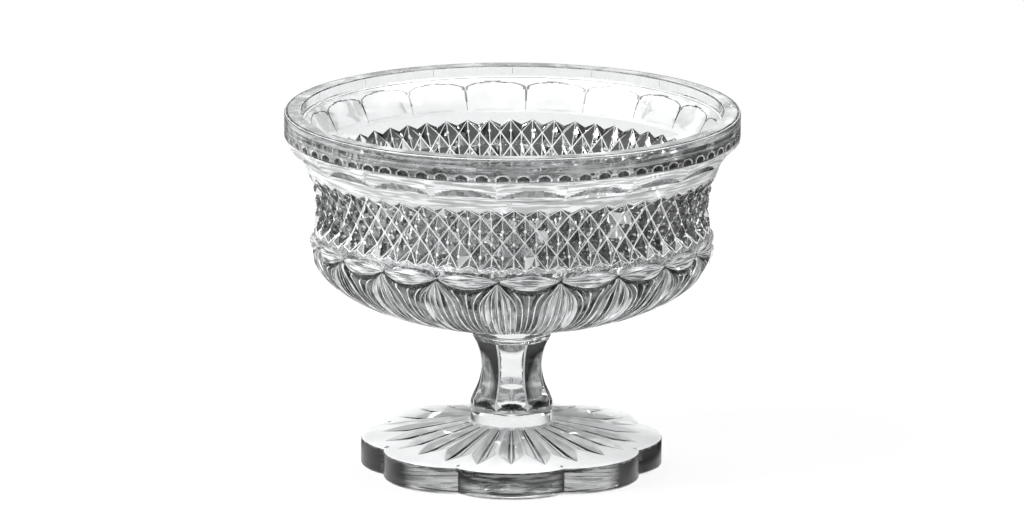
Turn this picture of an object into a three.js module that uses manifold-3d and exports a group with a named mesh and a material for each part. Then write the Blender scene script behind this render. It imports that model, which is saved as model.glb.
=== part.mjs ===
// A footed bowl of pressed clear crystal, in millimetres, +Z up.
// It is four pieces of glass fused hot: the bowl, the wafer under it, the faceted stem and the foot.
// The origin is the centre of the foot's underside, and the front of the bowl faces -Y.
import * as THREE from 'three';
import { mergeVertices } from 'three/addons/utils/BufferGeometryUtils.js';
import Module from 'manifold-3d';

const wasm = await Module();
wasm.setup();

const DEGREE = Math.PI / 180;

// Foot: eight round lobes with a rayed top
const LOBES = 8;
const LOBE_REACH = 60.4;
const VALLEY_REACH = 55.2;
const FOOT_EDGE_HEIGHT = 11.2;
const FOOT_RISE = 7.2;
const FOOT_EDGE_ROUND = 0.8;
const PETAL_CROWN = 1.4;
const RAYS_PER_LOBE = 3;
const RAY_REACH = 47.5;
const RAY_WIDEST = 36.4;
const RAY_SLOPE = 20 * DEGREE;
const UNDERSIDE_RADIUS = 44;
const UNDERSIDE_DOME = 5.6;
const SEAT_MARGIN = 1;

// Stem: eight hollow facets that run out on a round collar
const STEM_FACETS = 8;
const STEM_HEIGHT = 35.6;
const STEM_WAIST = 12;
const STEM_WAIST_HEIGHT = 22.1;
const STEM_CURVE = 27;
const STEM_BEVEL_HEIGHT = 2;
const STEM_BEVEL_WIDTH = 1.2;
const COLLAR_RADIUS = 16.4;
const CUT_MARGIN = 1;

// Wafer: the small scalloped disc between the stem and the bowl
const WAFER_RADIUS = 16.2;
const WAFER_THICKNESS = 3;
const WAFER_SCALLOPS = 10;
const WAFER_SCALLOP_DEPTH = 0.5;

// Bowl, from its base up. Heights of the bands are stacked on each other.
const PANELS = 20;
const PANEL_TURN = -4.1 * DEGREE;
const BASE_RADIUS = 17;
const BASE_RAISE = 1.2;
const BELLY_RADIUS = 80.6;
const BELLY_DEPTH = 31.8;
const LEAF_FOOT_RADIUS = 21;
const LEAF_TIP_WIDTH = 0.04;
const LEAF_FULL_WIDTH = 0.31;
const LEAF_OPENING = 0.055;
const LEAF_CREASES = 4;
const GAP_CREASES = 4;
const LEAF_RELIEF = 1.1;
const GAP_DROP = 0.6;
const UNDERCUT = 1.3;
const OVAL_RISE = 2.7;
const OVAL_DROP = 4.6;
const OVAL_LIFT = 2.9;
const OVAL_BULGE = 2.5;
const OVAL_FALL = 0.6;
const OVAL_SEAT_RADIUS = 78.4;
const OVAL_SIDES = 10;
const RECESS = 1.2;
const STRIP_GAP = 0.8;
const STRIP_HEIGHT = 0.8;

const DIAMONDS = 56;
const DIAMOND_TURN = 0.5 * DEGREE;
const DIAMOND_ROWS = 4;
const DIAMOND_HALF_HEIGHT = 5.4;
const DIAMOND_DEPTH = 3.4;
const DIAMOND_RUN_OUT = 4;
const DIAMOND_DIP = 1.9;
const NECK_RADIUS = 78.9;
const NECK_FLARE = 0.0089;
const NECK_PLAIN = 3.8;

const FLUTE_HEIGHT = 8.8;
const FLUTE_DEPTH = 3.2;
const FLUTE_START = 0.28;
const FLUTE_CUSP = 0.34;
const FLUTE_ARCH = 2.4;
const RIM_RADIUS = 91;
const RIM_BAND = 9.6;
const RIM_ROUND = 1.2;
const MOUTH_RADIUS = 84.1;
const MOUTH_STEP = 4.2;
const MOUTH_LEDGE = 1.3;
const MOUTH_FLARE = 2.6;
const WALL = 4.3;
const FLOOR_THICKNESS = 9.8;
const FLOOR_SHAPE = 2.2;

const SMOOTH_SIDES = 80;
const GLASS = new THREE.MeshStandardMaterial({
  color: 0xe9eef0, roughness: 0.03, metalness: 0, transparent: true, opacity: 0.35, flatShading: true,
});

// Levels above the table, each seated on the one below
const FOOT_TOP = FOOT_EDGE_HEIGHT + FOOT_RISE;
const STEM_TOP = FOOT_TOP + STEM_HEIGHT;
const BOWL_BASE = STEM_TOP + WAFER_THICKNESS;
const BELLY_LEVEL = BOWL_BASE + BASE_RAISE + BELLY_DEPTH;
const OVAL_LEVEL = BELLY_LEVEL + OVAL_LIFT;
const STRIP_LEVEL = OVAL_LEVEL + OVAL_RISE + STRIP_GAP;
const DIAMOND_BOTTOM = STRIP_LEVEL + STRIP_HEIGHT;
const DIAMOND_TOP = DIAMOND_BOTTOM + DIAMOND_ROWS * DIAMOND_HALF_HEIGHT + DIAMOND_RUN_OUT;
const FLUTE_BOTTOM = DIAMOND_TOP + NECK_PLAIN;
const BAND_BOTTOM = FLUTE_BOTTOM + FLUTE_HEIGHT;
const RIM_TOP = BAND_BOTTOM + RIM_BAND;

const blend = (from, to, share) => from + (to - from) * share;
const steps = count => Array.from({ length: count + 1 }, (_, i) => i / count);

// A ring is a closed row of points round the axis, listed by rising angle from the front.
// unit lists the points of one copy as [share of the pitch, radius, height].
function ring(copies, turn, unit) {
  const pitch = 2 * Math.PI / copies;
  return Array.from({ length: copies }).flatMap((_, copy) =>
    unit.map(([share, radius, height]) => ({ angle: turn + (copy + share) * pitch, radius, height })));
}

const circle = (radius, height, sides = SMOOTH_SIDES) => ring(sides, 0, [[0, radius, height]]);
const pole = height => [{ angle: 0, radius: 0, height }];
const corner = p => [p.radius * Math.sin(p.angle), -p.radius * Math.cos(p.angle), p.height];

// Middle of the side that leads on from a ring's point, with the last side closing the ring
function sideMiddle(row, i) {
  const next = i + 1 < row.length ? row[i + 1].angle : row[0].angle + 2 * Math.PI;
  return (row[i].angle + next) / 2;
}

// Joins two rings with triangles. Rings of like count go side by side, each patch folded along
// the diagonal that lies nearer to the axis, so grooves stay whole. Others are zipped by angle.
function stitch(lower, upper) {
  const faces = [];
  const matched = lower.length === upper.length;
  const low = i => lower[i % lower.length];
  const high = i => upper[i % upper.length];
  const lowSides = lower.length > 1 ? lower.length : 0;
  const highSides = upper.length > 1 ? upper.length : 0;
  let i = 0;
  let j = 0;
  while (i < lowSides || j < highSides) {
    let stepLow;
    if (i === lowSides || j === highSides) {
      stepLow = j === highSides;
    } else if (matched) {
      const inner = low(i + 1).radius + high(j).radius <= low(i).radius + high(j + 1).radius;
      stepLow = i < j || (i === j && inner);
    } else {
      stepLow = sideMiddle(lower, i) < sideMiddle(upper, j);
    }
    if (stepLow) {
      faces.push(low(i), low(i + 1), high(j));
      i += 1;
    } else {
      faces.push(low(i), high(j + 1), high(j));
      j += 1;
    }
  }
  return faces;
}

// Drops the triangles that close to a line where several points of a pattern meet in one
function weld(geometry) {
  geometry.deleteAttribute('normal');
  geometry.deleteAttribute('uv');
  const welded = mergeVertices(geometry, 1e-4);
  const index = welded.index.array;
  const kept = [];
  for (let i = 0; i < index.length; i += 3) {
    const [a, b, c] = index.slice(i, i + 3);
    if (a !== b && b !== c && c !== a) kept.push(a, b, c);
  }
  welded.setIndex(kept);
  return welded;
}

// The closed skin of a body whose rings are listed from one pole to the other
function skin(rings) {
  const corners = rings.slice(1).flatMap((row, i) => stitch(rings[i], row)).flatMap(corner);
  const geometry = new THREE.BufferGeometry();
  geometry.setAttribute('position', new THREE.Float32BufferAttribute(corners, 3));
  return weld(geometry);
}

function toSolid(geometry) {
  const vertProperties = new Float32Array(geometry.attributes.position.array);
  const triVerts = new Uint32Array(geometry.index.array);
  return new wasm.Manifold(new wasm.Mesh({ numProp: 3, vertProperties, triVerts }));
}

function fromSolid(solid) {
  const mesh = solid.getMesh();
  const geometry = new THREE.BufferGeometry();
  geometry.setAttribute('position', new THREE.BufferAttribute(mesh.vertProperties, 3));
  geometry.setIndex(new THREE.BufferAttribute(mesh.triVerts, 1));
  return geometry;
}

// Foot

// Reach of the lobed edge: each lobe is one arc of a circle set out from the axis
function lobedReach(angle) {
  const half = Math.PI / LOBES;
  const valleyX = VALLEY_REACH * Math.cos(half);
  const valleyY = VALLEY_REACH * Math.sin(half);
  const centre = (LOBE_REACH ** 2 - valleyX ** 2 - valleyY ** 2) / (2 * (LOBE_REACH - valleyX));
  const radius = LOBE_REACH - centre;
  const pitch = 2 * half;
  const off = angle - Math.round(angle / pitch) * pitch;
  return centre * Math.cos(off) + Math.sqrt(radius ** 2 - (centre * Math.sin(off)) ** 2);
}

// Height of the foot's top: a cone, with each lobe crowned over its middle like a petal and
// meeting the next one in a crease, deepest at the edge
function footTopHeight(angle, radius) {
  const outward = (radius - COLLAR_RADIUS) / (LOBE_REACH - COLLAR_RADIUS);
  const turns = angle * LOBES / (2 * Math.PI);
  const aside = 2 * (turns - Math.round(turns));
  return FOOT_TOP - outward * (FOOT_RISE + PETAL_CROWN * aside ** 2);
}

// One ring of the rayed top: a V cut along each ray, as wide as its pitch up to the widest place
// and then closing to a point
function rayRing(radius) {
  const rays = LOBES * RAYS_PER_LOBE;
  const opening = Math.min(1, Math.max(0, (RAY_REACH - radius) / (RAY_REACH - RAY_WIDEST)));
  const half = opening / 2;
  const depth = opening * Math.PI / rays * radius * Math.tan(RAY_SLOPE);
  return ring(rays, 0, [
    [0, radius, -depth],
    [half, radius, 0],
    [0.5, radius, 0],
    [1 - half, radius, 0],
  ]).map(point => ({ ...point, height: point.height + footTopHeight(point.angle, radius) }));
}

// A ring that follows the lobed edge, drawn in by some distance. level gives its height from its
// place round the axis and the reach there.
function lobeRing(inset, level) {
  const sides = LOBES * RAYS_PER_LOBE * 4;
  return steps(sides).slice(0, -1).map(share => {
    const angle = share * 2 * Math.PI;
    const reach = lobedReach(angle);
    return { angle, radius: reach - inset, height: level(angle, reach) };
  });
}

function makeFoot() {
  const dome = steps(4).slice(1).map(share =>
    circle(UNDERSIDE_RADIUS * share, UNDERSIDE_DOME * (1 - share ** 2), LOBES * 6));
  return skin([
    pole(UNDERSIDE_DOME),
    ...dome,
    lobeRing(FOOT_EDGE_ROUND, () => 0),
    lobeRing(0, () => FOOT_EDGE_ROUND),
    lobeRing(0, (angle, reach) => footTopHeight(angle, reach) - FOOT_EDGE_ROUND),
    lobeRing(FOOT_EDGE_ROUND, footTopHeight),
    ...[RAY_REACH, blend(RAY_WIDEST, RAY_REACH, 0.5), RAY_WIDEST].map(rayRing),
    rayRing(blend(COLLAR_RADIUS, RAY_WIDEST, 0.5)),
    rayRing(COLLAR_RADIUS + SEAT_MARGIN),
    circle(COLLAR_RADIUS, FOOT_TOP, LOBES * 6),
    pole(FOOT_TOP),
  ]);
}

// Stem

// Distance from the axis to the middle of a facet, on one arc that is slimmest at the waist
function facetDistance(height) {
  const rise = height - STEM_WAIST_HEIGHT;
  return STEM_WAIST + STEM_CURVE - Math.sqrt(STEM_CURVE ** 2 - rise ** 2);
}

function facetRing(distance, height) {
  const reach = distance / Math.cos(Math.PI / STEM_FACETS);
  return ring(STEM_FACETS, 0, [[0.5, reach, FOOT_TOP + height]]);
}

// The eight-sided shaft, cut back to the round collar at its foot
function makeStem() {
  const bevel = STEM_HEIGHT - STEM_BEVEL_HEIGHT;
  const heights = steps(12).map(share => blend(0, bevel, share));
  const top = facetDistance(bevel) + STEM_BEVEL_WIDTH;
  const shaft = skin([
    pole(FOOT_TOP),
    ...heights.map(height => facetRing(facetDistance(height), height)),
    facetRing(top, STEM_HEIGHT),
    pole(STEM_TOP),
  ]);
  const profile = [
    new THREE.Vector2(0, FOOT_TOP - CUT_MARGIN),
    new THREE.Vector2(COLLAR_RADIUS, FOOT_TOP - CUT_MARGIN),
    new THREE.Vector2(COLLAR_RADIUS, STEM_TOP + CUT_MARGIN),
    new THREE.Vector2(0, STEM_TOP + CUT_MARGIN),
  ];
  const round = new THREE.LatheGeometry(profile, SMOOTH_SIDES).rotateX(Math.PI / 2);
  return fromSolid(toSolid(shaft).intersect(toSolid(weld(round))));
}

// Wafer

function waferRing(inset, height) {
  const unit = steps(6).slice(0, -1).map(share => {
    const scallop = WAFER_SCALLOP_DEPTH * Math.abs(Math.sin(Math.PI * share));
    return [share, WAFER_RADIUS - WAFER_SCALLOP_DEPTH + scallop - inset, height];
  });
  return ring(WAFER_SCALLOPS, PANEL_TURN, unit);
}

function makeWafer() {
  return skin([
    pole(STEM_TOP),
    waferRing(WAFER_SCALLOP_DEPTH, STEM_TOP),
    waferRing(0, STEM_TOP + WAFER_THICKNESS / 2),
    waferRing(WAFER_SCALLOP_DEPTH, BOWL_BASE),
    pole(BOWL_BASE),
  ]);
}

// Bowl

// Points round one panel, from the middle of a leaf to the middle of the next: the creases of the
// leaf fan out from its tip, and those of the gap between two leaves share out the rest
function fannedShares(halfWidth) {
  const leaf = steps(LEAF_CREASES).map(share => halfWidth * share);
  const gap = steps(GAP_CREASES).slice(1, -1).map(share => blend(halfWidth, 1 - halfWidth, share));
  return [...leaf, ...gap, ...leaf.slice(1).reverse().map(share => 1 - share)];
}

const across = share => 1 - (2 * share - 1) ** 2;

// Lower edge of an oval boss, which is also the roof of the leaves and gaps under it
const ovalLowerEdge = share => OVAL_LEVEL - OVAL_DROP * across(share);

// One ring of the leaves. down runs from 0 under the ovals to 1 at the foot of the leaves, and
// each leaf opens out from its tip like an ogive.
function leafRing(down) {
  const opened = 1 - Math.exp(-down / LEAF_OPENING);
  const width = blend(LEAF_TIP_WIDTH, LEAF_FULL_WIDTH, opened);
  const last = Math.acos(LEAF_FOOT_RADIUS / BELLY_RADIUS);
  return ring(PANELS, PANEL_TURN, fannedShares(width).map((share, i) => {
    const roof = ovalLowerEdge(share) - GAP_DROP;
    const first = Math.asin((BELLY_LEVEL - roof) / BELLY_DEPTH);
    const slope = blend(first, last, down);
    const groove = i % 2 ? LEAF_RELIEF * opened : 0;
    const gap = i > LEAF_CREASES && i < LEAF_CREASES + GAP_CREASES ? GAP_DROP : 0;
    const undercut = down === 0 ? UNDERCUT : 0;
    const fade = 1 - down ** 4;
    const inset = (groove + gap) * fade + undercut;
    const radius = BELLY_RADIUS * Math.cos(slope) - inset * Math.cos(slope);
    const height = BELLY_LEVEL - BELLY_DEPTH * Math.sin(slope) + inset * Math.sin(slope);
    return [share, radius, height];
  }));
}

// One ring of the oval bosses. up runs from -1 at their lower edge to 1 at their upper one.
function ovalRing(up) {
  const reach = up < 0 ? OVAL_DROP : OVAL_RISE;
  return ring(PANELS, PANEL_TURN, steps(OVAL_SIDES).slice(0, -1).map(share => [
    share,
    OVAL_SEAT_RADIUS + OVAL_BULGE * across(share) * (1 - OVAL_FALL * up ** 2),
    OVAL_LEVEL + reach * up * across(share),
  ]));
}

function recessRing() {
  return ring(PANELS, PANEL_TURN, steps(OVAL_SIDES).slice(0, -1).map(share => [
    share, OVAL_SEAT_RADIUS - RECESS, OVAL_LEVEL + OVAL_RISE * across(share) + STRIP_GAP / 2,
  ]));
}

// Radius over the points of the diamonds, and over the plain neck above them
const neckRadius = height => NECK_RADIUS + NECK_FLARE * (height - DIAMOND_BOTTOM - DIAMOND_HALF_HEIGHT) ** 2;

// One level of the diamonds: points and groove crossings take turns, and swap on the next level.
// Under and over the rows the grooves run out in tips, and the plain glass dips between these.
function diamondRing(level) {
  const beyond = level === 0 || level > DIAMOND_ROWS;
  const height = level > DIAMOND_ROWS ? DIAMOND_TOP : DIAMOND_BOTTOM + level * DIAMOND_HALF_HEIGHT;
  const towardsRows = level === 0 ? DIAMOND_DIP : -DIAMOND_DIP;
  const pointHeight = beyond ? height + towardsRows : height;
  const depth = beyond ? 0 : DIAMOND_DEPTH;
  const point = [neckRadius(pointHeight), pointHeight];
  const crossing = [neckRadius(height) - depth, height];
  const pointFirst = (DIAMOND_ROWS - level) % 2 === 0;
  return ring(DIAMONDS, DIAMOND_TURN, [
    [0, ...(pointFirst ? point : crossing)],
    [0.5, ...(pointFirst ? crossing : point)],
  ]);
}

// One ring of the flutes. up runs from 0 at their foot to 1 at the band. A flute is a scoop with
// a parabola for its section. Above the cusps between two flutes its depth falls off along a
// rounded arch, and the proud surface beside it widens.
function fluteRing(up) {
  const proud = blend(neckRadius(FLUTE_BOTTOM), RIM_RADIUS, Math.sin(up * Math.PI / 2));
  const full = FLUTE_DEPTH * blend(FLUTE_START, 1, Math.min(1, up / FLUTE_CUSP));
  const above = Math.max(0, (up - FLUTE_CUSP) / (1 - FLUTE_CUSP));
  const remaining = (1 - above ** FLUTE_ARCH) ** (1 / FLUTE_ARCH);
  const arch = (1 - Math.sqrt(remaining)) / 2;
  const height = FLUTE_BOTTOM + FLUTE_HEIGHT * up;
  const scoop = steps(4).map(share => [
    blend(arch, 1 - arch, share), proud - full * remaining * across(share), height,
  ]);
  return ring(PANELS, PANEL_TURN, [[0, proud, height], ...scoop]);
}

// The inside of the bowl from the ledge in its mouth down to the floor
function insideRings() {
  const ledge = RIM_TOP - MOUTH_STEP;
  const mouth = MOUTH_RADIUS - MOUTH_LEDGE;
  const waist = NECK_RADIUS - DIAMOND_DEPTH - WALL;
  const waistLevel = DIAMOND_BOTTOM + DIAMOND_HALF_HEIGHT / 2;
  const floor = BOWL_BASE + FLOOR_THICKNESS;
  const flare = [1, 0.9, 0.75, 0.55, 0.3].map(share =>
    circle(blend(waist, mouth, share ** MOUTH_FLARE), blend(waistLevel, ledge, share)));
  const basin = [0, 14, 28, 42, 56, 68, 80].map(degrees => {
    const radius = waist * Math.cos(degrees * DEGREE) ** (2 / FLOOR_SHAPE);
    const drop = (BELLY_LEVEL - floor) * Math.sin(degrees * DEGREE) ** (2 / FLOOR_SHAPE);
    return circle(radius, BELLY_LEVEL - drop);
  });
  return [...flare, ...basin, pole(floor)];
}

function rimRings() {
  const arc = [0, 45, 90].map(degrees => circle(
    RIM_RADIUS - RIM_ROUND * (1 - Math.cos(degrees * DEGREE)),
    RIM_TOP - RIM_ROUND * (1 - Math.sin(degrees * DEGREE))));
  return [
    circle(RIM_RADIUS, BAND_BOTTOM + RIM_ROUND),
    ...arc,
    circle(MOUTH_RADIUS, RIM_TOP),
    circle(MOUTH_RADIUS, RIM_TOP - MOUTH_STEP),
  ];
}

function makeBowl() {
  return skin([
    pole(BOWL_BASE),
    circle(BASE_RADIUS - BASE_RAISE / 2, BOWL_BASE),
    circle(BASE_RADIUS, BOWL_BASE + BASE_RAISE),
    ...[1, 0.72, 0.45, 0.22, 0.08, 0.02, 0].map(leafRing),
    ...[-1, -0.4, 0.3, 1].map(ovalRing),
    recessRing(),
    circle(neckRadius(STRIP_LEVEL), STRIP_LEVEL, PANELS * 6),
    ...Array.from({ length: DIAMOND_ROWS + 2 }, (_, level) => diamondRing(level)),
    ...[0, FLUTE_CUSP, 0.62, 0.84, 0.96, 1].map(fluteRing),
    ...rimRings(),
    ...insideRings(),
  ]);
}

const pieces = [
  ['foot', makeFoot()],
  ['stem', makeStem()],
  ['wafer', makeWafer()],
  ['bowl', makeBowl()],
];

const footedBowl = new THREE.Group();
for (const [name, geometry] of pieces) {
  geometry.computeVertexNormals();
  const piece = new THREE.Mesh(geometry, GLASS.clone());
  piece.name = name;
  footedBowl.add(piece);
}

export default footedBowl;
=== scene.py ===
"""A footed bowl of pressed clear crystal on a pale floor, in metres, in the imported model's frame."""
import logging
import math
from dataclasses import dataclass, field
from enum import Enum

import bmesh
import bpy
import numpy as np
from mathutils import Matrix, Vector


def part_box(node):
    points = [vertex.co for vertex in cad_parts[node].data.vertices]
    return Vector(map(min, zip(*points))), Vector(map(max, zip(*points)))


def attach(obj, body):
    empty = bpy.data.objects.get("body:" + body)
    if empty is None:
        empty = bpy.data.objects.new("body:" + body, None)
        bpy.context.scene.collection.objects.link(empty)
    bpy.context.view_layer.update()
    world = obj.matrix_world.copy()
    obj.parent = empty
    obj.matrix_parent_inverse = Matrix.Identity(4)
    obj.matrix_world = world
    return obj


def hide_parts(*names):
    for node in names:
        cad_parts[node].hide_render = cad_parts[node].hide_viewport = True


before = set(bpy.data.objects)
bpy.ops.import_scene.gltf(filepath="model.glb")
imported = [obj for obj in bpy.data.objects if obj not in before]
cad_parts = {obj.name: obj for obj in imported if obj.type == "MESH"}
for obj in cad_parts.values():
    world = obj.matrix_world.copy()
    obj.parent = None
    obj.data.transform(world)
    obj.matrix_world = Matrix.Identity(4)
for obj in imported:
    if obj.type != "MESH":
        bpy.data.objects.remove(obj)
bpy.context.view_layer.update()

MM = 0.001
TURN = 2 * math.pi
QUARTER = math.pi / 2
ROOT = "root"
PANELS = 20
PANEL_TURN = math.radians(-4.1)
JOINT_RADIUS = 15.2
JOINT_POINTS = 80
MERGE_WITHIN = 2e-6
SHARP_ABOVE = math.radians(24)
Values = float | np.ndarray
logger = logging.getLogger("footed_bowl")


class Finish(Enum):
    """Which finish a face of a piece's skin takes: its glass and the painted light and shade over it.
    """

    FACET = 0
    RIB = 1
    SATIN = 2
    CREST = 3
    BAND = 4
    WALL = 5
    CLEAR = 6
    JOINT = 7
    PETAL = 8
    SHADE = 9
    GLOSS = 10
    FLANK = 11
    BOSS = 12
    LINE = 13
    MOUTH = 14
    LAND = 15
    LEAF = 16
    RIDGE = 17
    STRIP = 18
    DARK = 19


def blend(start: Values, end: Values, share: Values) -> Values:
    """The value a share of the way from start to end: start + (end - start) * share."""
    return start + (end - start) * share


def eased(share: np.ndarray) -> np.ndarray:
    """The S-curve 3t^2 - 2t^3 of a share clipped to 0..1."""
    clipped = np.clip(share, 0.0, 1.0)
    return clipped * clipped * (3.0 - 2.0 * clipped)


def across(share: np.ndarray) -> np.ndarray:
    """A parabola over one panel: 0 at both of its sides and 1 in the middle."""
    return 1.0 - (2.0 * share - 1.0) ** 2


def rounding(rings: int) -> tuple[np.ndarray, np.ndarray]:
    """1 - cos and 1 - sin of a quarter turn in so many rings, for the section of a rounded edge."""
    bend = np.linspace(0, QUARTER, rings)[:, None]
    return 1 - np.cos(bend), 1 - np.sin(bend)


def stacked(*parts: Values) -> np.ndarray:
    """Numbers and runs of numbers, one under the other: the places of a band's rings."""
    return np.concatenate([np.atleast_1d(part) for part in parts])[:, None]


def vee_strips(parts: int, land: float) -> np.ndarray:
    """Shares along a row of V channels, with lands of that half width on their ridges and bottoms."""
    within = np.array([0.0, land, 0.5 - land, 0.5, 0.5 + land, 1 - land])
    return ((np.arange(parts)[:, None] + within[None, :]) / parts).ravel()


def vee(channel: np.ndarray, land: float) -> np.ndarray:
    """Depth of a V-shaped channel: 0 on a ridge's land, 1 on the bottom's land, straight between."""
    return np.clip((0.5 - np.abs(channel - 0.5) - land) / (0.5 - 2 * land), 0.0, 1.0)


def circle(count: int) -> np.ndarray:
    """Angles of a plain ring of so many points."""
    return np.arange(count) * TURN / count


def repeated(copies: int, turn: float, shares: np.ndarray) -> np.ndarray:
    """Angles of one panel's shares, shaped (rows, columns), repeated round the axis from turn on."""
    angles = turn + (np.arange(copies)[None, :, None] + shares[:, None, :]) * (TURN / copies)
    return angles.reshape(shares.shape[0], -1)


def tiled(copies: int, values: np.ndarray) -> np.ndarray:
    """One panel's values, shaped (rows, columns), repeated for every panel round the axis."""
    return np.tile(values, (1, copies))


def by_row(*finishes: Finish) -> np.ndarray:
    """Finish numbers of a band's rows of faces, or of them all where only one is given."""
    return np.array([[finish.value] for finish in finishes])


def placed(angle: np.ndarray, radius: np.ndarray, height: np.ndarray) -> np.ndarray:
    """Points in metres from polar places in millimetres, with x, y and z on a last axis.

    Angle 0 is the front, -Y, and a rising angle goes towards +X: x = r sin a, y = -r cos a.

    Args:
        angle: Angles in radians.
        radius: Distances from the axis.
        height: Heights above the floor.

    Returns:
        Points shaped like the inputs, which broadcast with one another.
    """
    angle, radius, height = np.broadcast_arrays(angle, radius, height)
    return np.stack((radius * np.sin(angle), -radius * np.cos(angle), height), axis=-1) * MM


class Skin:
    """A closed skin, sewn from bands of rings in their order from the lower pole to the upper one.

    Each point keeps its column and its ring within its band as its grain, which the finishes can
    draw their painted streaks of light and shade along.
    """

    def __init__(self) -> None:
        """Starts with no band."""
        self.points: list[np.ndarray] = []
        self.faces: list[np.ndarray] = []
        self.grain: list[np.ndarray] = []
        self.finishes: list[np.ndarray] = []
        self.total = 0
        self.edge: tuple[np.ndarray, np.ndarray] | None = None

    def pole(self, height: float, finish: Finish) -> None:
        """Adds one point on the axis, which closes the skin or starts it."""
        self.band(0.0, 0.0, height, finish)

    def band(self, angle: Values, radius: Values, height: Values, finish: Finish,
             chart: np.ndarray | None = None) -> None:
        """Adds rings of like count and sews them on to the last one.

        Args:
            angle: Angles of the rings' points, shaped (rings, points) or (points,).
            radius: Radii in millimetres, which broadcast with the angles.
            height: Heights in millimetres, which broadcast with the angles.
            finish: The finish of the band and of the seam before it.
            chart: Finish numbers of the faces in place of the one finish, which broadcast to the
                shape (rings - 1, points).
        """
        angle, radius, height = np.broadcast_arrays(*map(np.atleast_2d, (angle, radius, height)))
        self.rows(placed(angle, radius, height), angle, finish, chart)

    def panels(self, shares: np.ndarray, radius: Values, height: Values, finish: Finish,
               chart: np.ndarray | None = None, copies: int = PANELS, turn: float = PANEL_TURN) -> None:
        """Adds a band in which one panel repeats round the axis.

        Args:
            shares: Shares of the pitch, shaped (1, points) or (rings, points).
            radius: Radii of one panel's points, or of whole rings.
            height: Heights, likewise.
            finish: The finish of the band and of the seam before it.
            chart: Finish numbers of one panel's faces, in place of the one finish.
            copies: How many panels go round.
            turn: The angle where the first one starts.
        """
        points = shares.shape[-1:]
        radius, height, chart = (tiled(copies, values) if np.shape(values)[-1:] == points else values
                                 for values in (radius, height, chart))
        self.band(repeated(copies, turn, shares), radius, height, finish, chart)

    def rows(self, points: np.ndarray, angle: np.ndarray, finish: Finish,
             chart: np.ndarray | None = None) -> None:
        """Adds rings of points in metres, with the angles that order them.

        Args:
            points: Points shaped (rings, points, 3).
            angle: Their angles, shaped (rings, points).
            finish: The finish of the band and of the seam before it.
            chart: Finish numbers of the faces, as for a band.
        """
        rings, count = angle.shape
        ring, column = np.mgrid[0:rings, 0:count]
        self.grain.append(np.stack((column, ring, 0 * ring), axis=-1).reshape(-1, 3))
        index = self.total + np.arange(rings * count).reshape(rings, count)
        self.points.append(points.reshape(-1, 3))
        self.total += rings * count
        if self.edge is not None:
            self.sew(self.edge[0], self.edge[1], index[0], angle[0], finish)
        if rings > 1 and count > 1:
            low, high = index[:-1], index[1:]
            quads = np.stack((low, np.roll(low, -1, 1), np.roll(high, -1, 1), high), axis=-1)
            numbers = finish.value if chart is None else chart
            self.add_faces(quads.reshape(-1, 4), np.broadcast_to(numbers, low.shape).ravel())
        self.edge = (index[-1], angle[-1])

    def sew(self, low: np.ndarray, low_angle: np.ndarray, high: np.ndarray, high_angle: np.ndarray,
            finish: Finish) -> None:
        """Joins two rings of any counts with triangles, in the order of their sides' middles.

        Args:
            low: Vertex numbers of the lower ring.
            low_angle: Its angles.
            high: Vertex numbers of the upper ring.
            high_angle: Its angles.
            finish: The finish of the seam.
        """
        low_middle = self.side_middles(low_angle)
        high_middle = self.side_middles(high_angle)
        if len(low_middle):
            apex = np.searchsorted(high_middle, low_middle, side="right") % len(high)
            self.add_faces(np.stack((low, np.roll(low, -1), high[apex]), axis=-1), finish.value)
        if len(high_middle):
            apex = np.searchsorted(low_middle, high_middle, side="left") % len(low)
            self.add_faces(np.stack((low[apex], np.roll(high, -1), high), axis=-1), finish.value)

    @staticmethod
    def side_middles(angle: np.ndarray) -> np.ndarray:
        """Angles of the middles of a ring's sides, the closing one last, or none for a pole."""
        if len(angle) == 1:
            return np.empty(0)
        return (angle + np.append(angle[1:], angle[0] + TURN)) / 2

    def patch(self, points: np.ndarray, blocks: list[tuple[np.ndarray, np.ndarray]]) -> None:
        """Adds loose copies of a small mesh, which the closing merge joins to their neighbours.

        Args:
            points: Points shaped (copies, points, 3), in metres.
            blocks: Faces of one copy with like corner counts, and the finish numbers of these in
                every copy, shaped (copies, faces).
        """
        copies, count = points.shape[:2]
        start = self.total + np.arange(copies)[:, None, None] * count
        self.points.append(points.reshape(-1, 3))
        self.grain.append(np.zeros((copies * count, 3)))
        self.total += copies * count
        for faces, numbers in blocks:
            self.add_faces((start + faces[None]).reshape(-1, faces.shape[1]), numbers.ravel())

    def add_faces(self, faces: np.ndarray, numbers: np.ndarray | int) -> None:
        """Keeps faces of one corner count and their finish numbers."""
        self.faces.append(faces)
        self.finishes.append(np.broadcast_to(numbers, len(faces)))

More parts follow.
